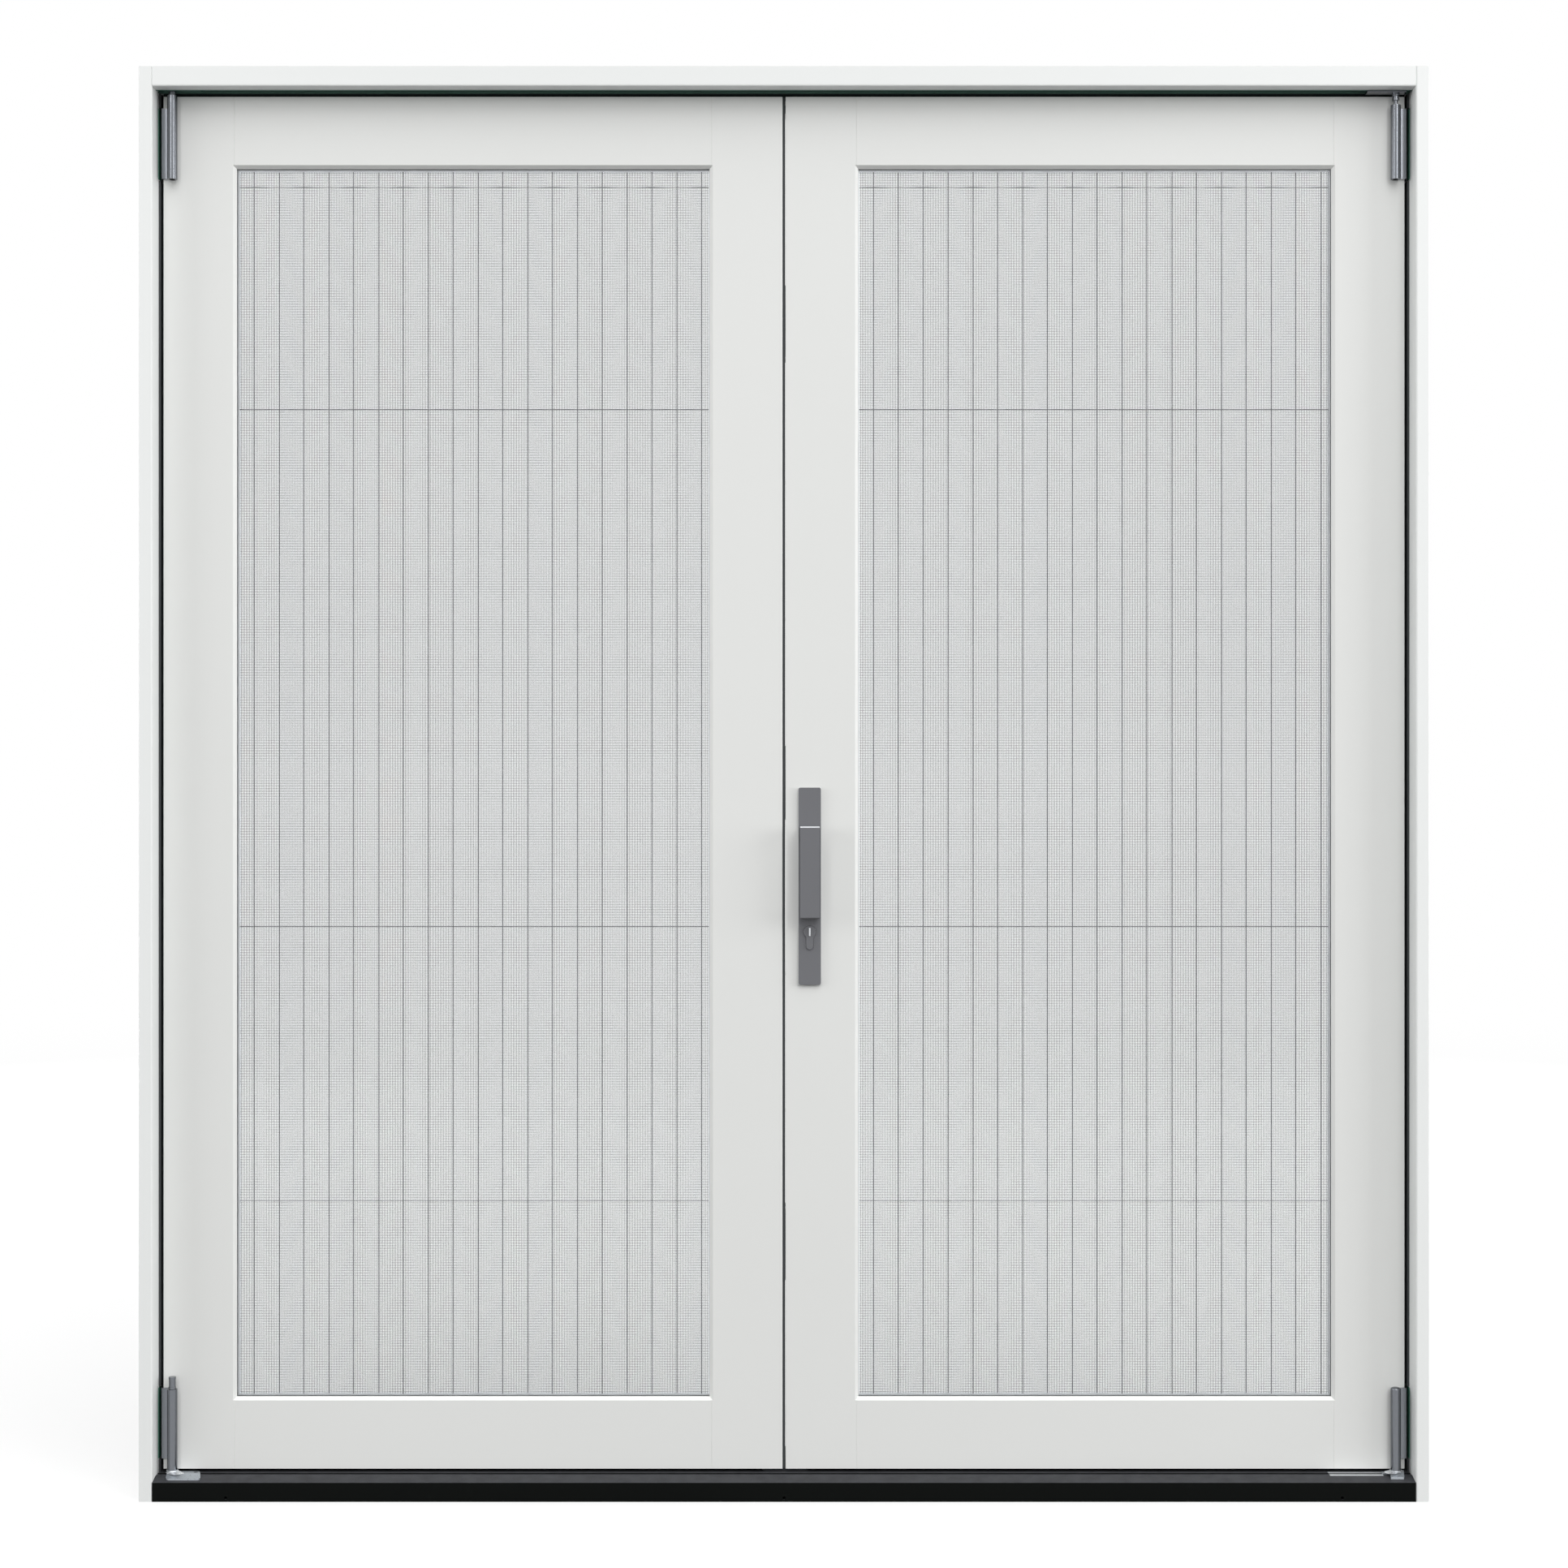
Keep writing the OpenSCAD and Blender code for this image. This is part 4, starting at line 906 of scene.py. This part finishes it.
@dataclass
class Leaf:
    """One glazed leaf: its wire screen, and the fasteners that show when it is folded or seen from inside."""

    side: Side
    mid_hinge: float = 100 * MM
    mid_face: float = 0.3 * MM
    mid_screws: tuple[Pair, ...] = ((10 * MM, -36 * MM), (18 * MM, 0.0), (10 * MM, 36 * MM))
    pivot_screws: tuple[Pair, ...] = ((7 * MM, -34 * MM), (12 * MM, 0.0), (7 * MM, 34 * MM))
    screw: HeadSize = HeadSize(3.4 * MM, 0.12 * MM, 0.94)
    pin: HeadSize = HeadSize(1.1 * MM, 0.15 * MM, 0.7)
    pin_pitch: float = 190 * MM
    bead_flat: float = 5 * MM

    def build(self, finishes: Finishes) -> None:
        """Make the leaf's pieces and put them on its body.

        Args:
            finishes: The finishes to dress them in.
        """
        screen = PleatedScreen(self.side).build(finishes[Slot.MESH_WIRE])
        mount(screen, self.side.body)
        ScrewSet(self.side.node("hinge_screws"), self.side.body, Slot.STEEL, self._hinge_spots(),
                 self.screw).build(finishes)
        ScrewSet(self.side.node("bead_pins"), self.side.body, Slot.WHITE_PAINT, self._bead_spots(), self.pin,
                 recess=False).build(finishes)

    def _hinge_spots(self) -> list[Spot]:
        """Places of the screws in the hinge plates on the meeting edge and the outer edge.

        Returns:
            Three spots to a plate.
        """
        sign, node = self.side.value, self.side.node
        low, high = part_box(node("mid_hinges"))
        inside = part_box(node("meeting_stile"))[1].y
        plates = [(sign * self.mid_face, inside, z, -sign, self.mid_screws)
                  for z in (low.z + self.mid_hinge / 2, (low.z + high.z) / 2, high.z - self.mid_hinge / 2)]
        for name in ("top_hinge", "bottom_hinge"):
            low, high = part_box(node(name))
            face = low.x if self.side is Side.LEFT else high.x
            plates.append((face, high.y, (low.z + high.z) / 2, sign, self.pivot_screws))
        return [Spot(Vector((face, back - depth, middle + up)), Vector((way, 0.0, 0.0)))
                for face, back, middle, way, screws in plates for depth, up in screws]

    def _bead_spots(self) -> list[Spot]:
        """Places of the pins along the four glazing beads on the inside.

        Returns:
            The spots, evenly spaced.
        """
        low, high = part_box(self.side.node("beads"))
        spots = []
        for along, across, first, last, sides in (
                (0, 2, low.x, high.x, (low.z + self.bead_flat, high.z - self.bead_flat)),
                (2, 0, low.z, high.z, (low.x + self.bead_flat, high.x - self.bead_flat))):
            count = max(2, round((last - first) / self.pin_pitch))
            for place in sides:
                for step in range(count):
                    at = Vector((0.0, high.y, 0.0))
                    at[along] = first + (step + 0.5) * (last - first) / count
                    at[across] = place
                    spots.append(Spot(at, INWARD))
        return spots


@dataclass
class DoorFrame:
    """Finer pieces of the fixed frame: brush, a dark film of painted shade in the rail slot, screws, and the
    feet that the leaves turn on.
    """

    inset: float = 8 * MM
    screw: HeadSize = HeadSize(3.2 * MM, 1.0 * MM, 0.55)
    keeper: float = 2 * MM
    slot_width: float = 5 * MM
    # Thickness of the dark film of painted shade in the rail slot.
    lining: float = 0.1 * MM
    brush_gap: float = 0.5 * MM
    brush_depth: float = 2.5 * MM
    touch: float = 0.1 * MM
    axis_depth: float = -28 * MM
    plate: float = 2.2 * MM
    plate_left_skew: float = 2.7 * MM
    plate_right_skew: Pair = (3.3 * MM, -4 * MM)
    plate_corner: float = 5 * MM
    shoe_length: float = 19 * MM
    shoe_skew: float = -5.4 * MM
    shoe_corner: float = 1.5 * MM
    cup_gap: float = 0.4 * MM
    cup_section: tuple[Triple, ...] = (
        (5.0 * MM, 0.0, 0.0), (8.9 * MM, 0.0, 1.0), (8.1 * MM, 0.25, 0.7), (7.5 * MM, 0.5, 0.3),
        (7.7 * MM, 0.68, 0.0), (8.1 * MM, 0.85, 0.0), (7.9 * MM, 0.97, 0.0), (7.4 * MM, 1.0, 0.0),
        (6.9 * MM, 0.93, 0.0), (6.0 * MM, 0.6, 0.0), (5.0 * MM, 0.5, 0.0))
    flare: Pair = (8 * MM, -6 * MM)
    skirt: float = 4.4 * MM
    skirt_radii: Pair = (6.3 * MM, 7 * MM)

    def build(self, finishes: Finishes, nodes: dict[str, Object]) -> None:
        """Make the pieces and put each on its body.

        Args:
            finishes: The finishes to dress them in.
            nodes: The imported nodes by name.
        """
        # The brush, and the dark film of painted shade in the rail slot.
        for piece in (self._head_brush(), self._slot_lining()):
            finishes.fit(piece, "frame", Slot.SEAL)
        pivot_low, pivot_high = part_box("floor_pivot")
        FootPlate("pivot_plate", "floor_pivot", "frame", Slot.STEEL,
                  PlateEnd(pivot_low.x, self.plate_left_skew), PlateEnd(pivot_high.x, *self.plate_right_skew),
                  self.plate_corner).build(finishes, nodes)
        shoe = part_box("guide_shoe")[1]
        FootPlate("shoe_plate", "guide_shoe", "guide", Slot.SILVER,
                  PlateEnd(shoe.x - self.shoe_length, self.shoe_skew), PlateEnd(shoe.x, self.shoe_skew),
                  self.shoe_corner).build(finishes, nodes)
        sill_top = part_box("bolt_keepers")[0].z
        self._foot(finishes, "floor_cup", "frame", Side.LEFT, "left_pivot_pins", sill_top + self.plate)
        self._foot(finishes, "guide_cup", "guide", Side.RIGHT, "guide_pin", shoe.z)
        self._plate_screws(finishes)

    def _foot(self, finishes: Finishes, name: str, body: str, side: Side, pin: str, base: float) -> None:
        """Make the cup round a lower pin, and the end of the hinge barrel that turns over it.

        Args:
            finishes: The finishes to dress them in.
            name: The cup's name.
            body: The cup's body.
            side: The leaf that turns on the pin.
            pin: The pin's node.
            base: Height of the plate that the cup stands on.
        """
        low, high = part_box(pin)
        foot = Vector(((low.x + high.x) / 2, self.axis_depth, base))
        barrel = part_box(side.node("bottom_hinge"))[0].z - base
        rim = barrel - self.skirt
        cup = tuple((radius, share * rim, spread) for radius, share, spread in self.cup_section)
        TurnedRing(name, body, foot, cup, (-side.value * self.flare[0], self.flare[1])).build(finishes)
        inner, outer = self.skirt_radii
        end = rim + self.cup_gap
        skirt = ((inner, end, 0.0), (outer, end, 0.0), (outer, barrel, 0.0), (inner, barrel, 0.0))
        TurnedRing(side.node("barrel_skirt"), side.body, foot, skirt).build(finishes)

    def _head_brush(self) -> Object:
        """Black pile in the gap over the leaves, behind the top track, whose near-black also stands in as
        painted shade in that deep gap.

        Returns:
            The brush.
        """
        left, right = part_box("left_hinge_stile")[0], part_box("right_hinge_stile")[1]
        track_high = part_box("top_track")[1]
        low = Vector((left.x, track_high.y + self.touch, right.z + self.brush_gap))
        high = Vector((right.x, low.y + self.brush_depth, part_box("head")[0].z - self.touch))
        return box_object("head_brush", low, high)

    def _slot_lining(self) -> Object:
        """Painted shade: a dark film on the back wall of the slot between the silver rails, where the slot
        lies in shadow.

        Returns:
            The film.
        """
        low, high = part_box("track_inserts")
        wall = (low.y + high.y + self.slot_width) / 2
        return box_object("slot_lining", Vector((low.x, wall - self.lining, low.z)),
                          Vector((high.x, wall, high.z - self.touch)))

    def _plate_screws(self, finishes: Finishes) -> None:
        """Make the screws of the floor pivot and the bolt keepers.

        Args:
            finishes: The finishes to dress them in.
        """
        pivot_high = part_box("floor_pivot")[1]
        low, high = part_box("bolt_keepers")
        middle = (low.y + high.y) / 2
        spots = [Spot(Vector((pivot_high.x - self.inset, self.axis_depth, low.z + self.plate)), UP)]
        for x in (low.x + self.inset, high.x - self.inset):
            spots.append(Spot(Vector((x, middle, low.z + self.keeper)), UP))
            spots.append(Spot(Vector((x, middle, high.z - self.keeper)), -UP))
        screws = ScrewSet("frame_screws", "frame", Slot.STEEL, spots, self.screw).build(finishes)
        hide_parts("plate_screws")


@dataclass
class LockSet:
    """Painted highlights on the outside handle, and the screws of the lock's inside plate and faceplate."""

    plate_inset: float = 13 * MM
    plate_screw: HeadSize = HeadSize(3.4 * MM, 0.5 * MM, 0.75)
    edge_screw: HeadSize = HeadSize(2.9 * MM, 0.12 * MM, 0.94)
    edge_shares: tuple[float, ...] = (0.03, 0.26, 0.36, 0.62, 0.72, 0.97)
    grip_chamfer: float = 1.5 * MM
    highlight_film: float = 0.15 * MM
    bar_proud: float = 1.6 * MM
    bar_width: float = 2.4 * MM
    bar_length: float = 11.4 * MM
    bar_bevel: float = 0.5 * MM

    def build(self, finishes: Finishes) -> None:
        """Make the screws and the painted highlights on the handle.

        Args:
            finishes: The finishes to dress them in.
        """
        # Bright silver strips painted as highlights on the grip's top edge and on the turn bar.
        for piece, body in ((self._grip_edge(), "right_leaf"), (self._turn_bar_cap(), "key_plug")):
            finishes.fit(piece, body, Slot.SILVER)
        low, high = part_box("inner_plate")
        middle = (low.x + high.x) / 2
        inside = [Spot(Vector((middle, high.y, z)), INWARD)
                  for z in (low.z + self.plate_inset, high.z - self.plate_inset)]
        ScrewSet("inner_plate_screws", "right_leaf", Slot.STEEL, inside, self.plate_screw).build(finishes)
        low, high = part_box("faceplate")
        depth = (low.y + high.y) / 2
        edge = [Spot(Vector((low.x, depth, low.z + share * (high.z - low.z))), Vector((-1.0, 0.0, 0.0)))
                for share in self.edge_shares]
        ScrewSet("faceplate_screws", "right_leaf", Slot.STEEL, edge, self.edge_screw).build(finishes)

    def _grip_edge(self) -> Object:
        """Painted highlight along the top of the pull grip: a bright metal strip on the edge that catches the
        light.

        Returns:
            A thin plate on the grip's chamfer.
        """
        low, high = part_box("pull_grip")
        out = Vector((0.0, -self.highlight_film, self.highlight_film))
        lower = Vector((0.0, low.y, high.z - self.grip_chamfer))
        upper = Vector((0.0, low.y + self.grip_chamfer, high.z))
        section = (lower, upper, upper + out, lower + out)
        points = [corner + Vector((x, 0.0, 0.0)) for x in (low.x, high.x) for corner in section]
        sides = [(i, (i + 1) % 4, (i + 1) % 4 + 4, i + 4) for i in range(4)]
        return mesh_object("grip_edge", points, [(3, 2, 1, 0), (4, 5, 6, 7), *sides])

    def _turn_bar_cap(self) -> Object:
        """Painted highlight on the bar that turns the lock cylinder: a bright cap with soft edges over it.

        Returns:
            The cap.
        """
        low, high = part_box("key_plug")
        middle = (low + high) / 2
        middle.y = low.y - self.highlight_film + self.bar_proud / 2
        half = Vector((self.bar_width, self.bar_proud, self.bar_length)) / 2
        return box_object("turn_bar_cap", middle - half, middle + half, self.bar_bevel)


def hang_lamp(name: str, data: Light, place: Vector, aim: Vector) -> None:
    """Hang a lamp in the scene.

    Args:
        name: The lamp's name.
        data: The light.
        place: Where it hangs.
        aim: The way that it shines.
    """
    lamp = new_object(name, data)
    lamp.location = place
    lamp.rotation_mode = "QUATERNION"
    lamp.rotation_quaternion = aim.to_track_quat("-Z", "Y")


@dataclass(frozen=True)
class AreaLamp:
    """A soft lamp that faces a point."""

    name: str
    place: Triple
    target: Triple
    width: float
    height: float
    power: float

    def build(self) -> None:
        """Add the lamp to the scene."""
        data = bpy.data.lights.new(self.name, "AREA")
        data.shape = "RECTANGLE"
        data.size = self.width
        data.size_y = self.height
        data.energy = self.power
        hang_lamp(self.name, data, Vector(self.place), Vector(self.target) - Vector(self.place))


@dataclass(frozen=True)
class DistantLamp:
    """A large soft light so far away that it lights the whole door evenly."""

    name: str
    way: Triple
    strength: float
    spread: float
    distance: float = 10.0

    def build(self) -> None:
        """Add the lamp to the scene."""
        data = bpy.data.lights.new(self.name, "SUN")
        data.energy = self.strength
        data.angle = math.radians(self.spread)
        hang_lamp(self.name, data, self.distance * Vector(self.way), -Vector(self.way))


@dataclass
class Studio:
    """Camera square on to the door, a pale floor, a white surround and soft lamps."""

    distance: float = 3.6125
    eye: float = 0.990
    lens: float = 59.19
    sensor: float = 36.0
    floor_half: float = 9.0
    floor_rough: float = 0.9
    floor_glow: float = 0.6
    floor_pale: float = 0.9
    floor_bounce: float = 0.05
    floor_fade: Pair = (2.0, 8.0)
    ambient: float = 0.5
    lamps: tuple[AreaLamp | DistantLamp, ...] = (
        DistantLamp("key", (0.2, -0.6, 0.77), 1.75, 60.0),
        AreaLamp("left_fill", (-5.0, -1.6, 1.8), (0.0, 0.0, 1.0), 2.5, 2.5, 85.0),
        AreaLamp("right_fill", (5.0, -1.6, 1.8), (0.0, 0.0, 1.0), 2.5, 2.5, 120.0),
        AreaLamp("left_strip", (-2.1, -3.6, 2.75), (-0.87, 0.0, 1.87), 0.5, 0.8, 8.0),
        AreaLamp("right_strip", (2.1, -3.6, 2.75), (0.87, 0.0, 1.87), 0.5, 0.8, 12.0),
        AreaLamp("left_back", (-4.0, 4.4, 1.0), (0.0, 0.0, 1.0), 2.5, 1.9, 90.0),
        AreaLamp("right_back", (4.0, 4.4, 1.0), (0.0, 0.0, 1.0), 2.5, 1.9, 90.0),
    )

    def build(self) -> None:
        """Set the stage."""
        self._camera()
        self._floor()
        self._world()
        for lamp in self.lamps:
            lamp.build()
        bpy.context.scene.view_settings.view_transform = "Standard"

    def _camera(self) -> None:
        """Put the camera where the photo was taken from."""
        data = bpy.data.cameras.new("camera")
        data.sensor_width = self.sensor
        data.lens = self.lens
        camera = new_object("camera", data)
        camera.location = (0.0, -self.distance, self.eye)
        camera.rotation_euler = (math.pi / 2, 0.0, 0.0)
        bpy.context.scene.camera = camera

    @staticmethod
    def _seen(graph: ShaderGraph) -> NodeSocket:
        """Mask of the rays that should see white.

        Args:
            graph: The tree to add to.

        Returns:
            1 on camera, glossy and transmission rays, and 0 on the rays that light the object.
        """
        path = graph.add("ShaderNodeLightPath").outputs
        seen = path["Is Camera Ray"]
        for label in ("Is Glossy Ray", "Is Transmission Ray"):
            seen = graph.math("MAXIMUM", seen, path[label])
        return seen

    def _floor(self) -> None:
        """Lay a pale floor that keeps a soft shadow and ends in white."""
        mesh = bpy.data.meshes.new("floor")
        half = self.floor_half
        corners = [(-half, -half, 0.0), (half, -half, 0.0), (half, half, 0.0), (-half, half, 0.0)]
        mesh.from_pydata(corners, [], [(0, 1, 2, 3)])
        floor = new_object("floor", mesh)
        material, graph, shader = new_material("pale_floor")
        seen = self._seen(graph)
        graph.set(shader, Base_Color=graph.remap(seen, self.floor_bounce, self.floor_pale),
                  Roughness=self.floor_rough, Specular_IOR_Level=0.0)
        reach = graph.add("ShaderNodeVectorMath", operation="LENGTH", Vector=graph.place())
        start, end = self.floor_fade
        fade = graph.add("ShaderNodeMapRange", interpolation_type="SMOOTHSTEP", Value=reach.outputs["Value"],
                         From_Min=start, From_Max=end, To_Min=self.floor_glow)
        mix = graph.add("ShaderNodeMixShader", Fac=graph.math("MULTIPLY", seen, fade.outputs["Result"]))
        graph.feed(mix.inputs[1], shader.outputs[0])
        graph.feed(mix.inputs[2], graph.add("ShaderNodeEmission").outputs[0])
        graph.set(material.node_tree.nodes["Material Output"], Surface=mix.outputs[0])
        mesh.materials.append(material)

    def _world(self) -> None:
        """Surround the door with white that lights it softly."""
        world = bpy.data.worlds.new("white_surround")
        world.use_nodes = True
        graph = ShaderGraph(world.node_tree)
        graph.set(world.node_tree.nodes["Background"], Color=(1.0, 1.0, 1.0, 1.0),
                  Strength=graph.remap(self._seen(graph), self.ambient, 1.0))
        bpy.context.scene.world = world


def clear_scene() -> None:
    """Remove what a new file starts with."""
    for item in list(bpy.data.objects):
        bpy.data.objects.remove(item)


def main() -> None:
    """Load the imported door, dress its nodes, add the finer pieces and set the stage."""
    logging.basicConfig(level=logging.INFO, format="%(name)s: %(message)s")
    clear_scene()
    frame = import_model()
    finishes = Finishes()
    for row in frame["record"]["subparts"]:
        finishes.dress(frame["nodes"][row["node"]], row["node"], Slot(row["material_slot"]))
    for side in Side:
        Leaf(side).build(finishes)
    DoorFrame().build(finishes, frame["nodes"])
    LockSet().build(finishes)
    Studio().build()


if __name__ == "__main__":
    main()
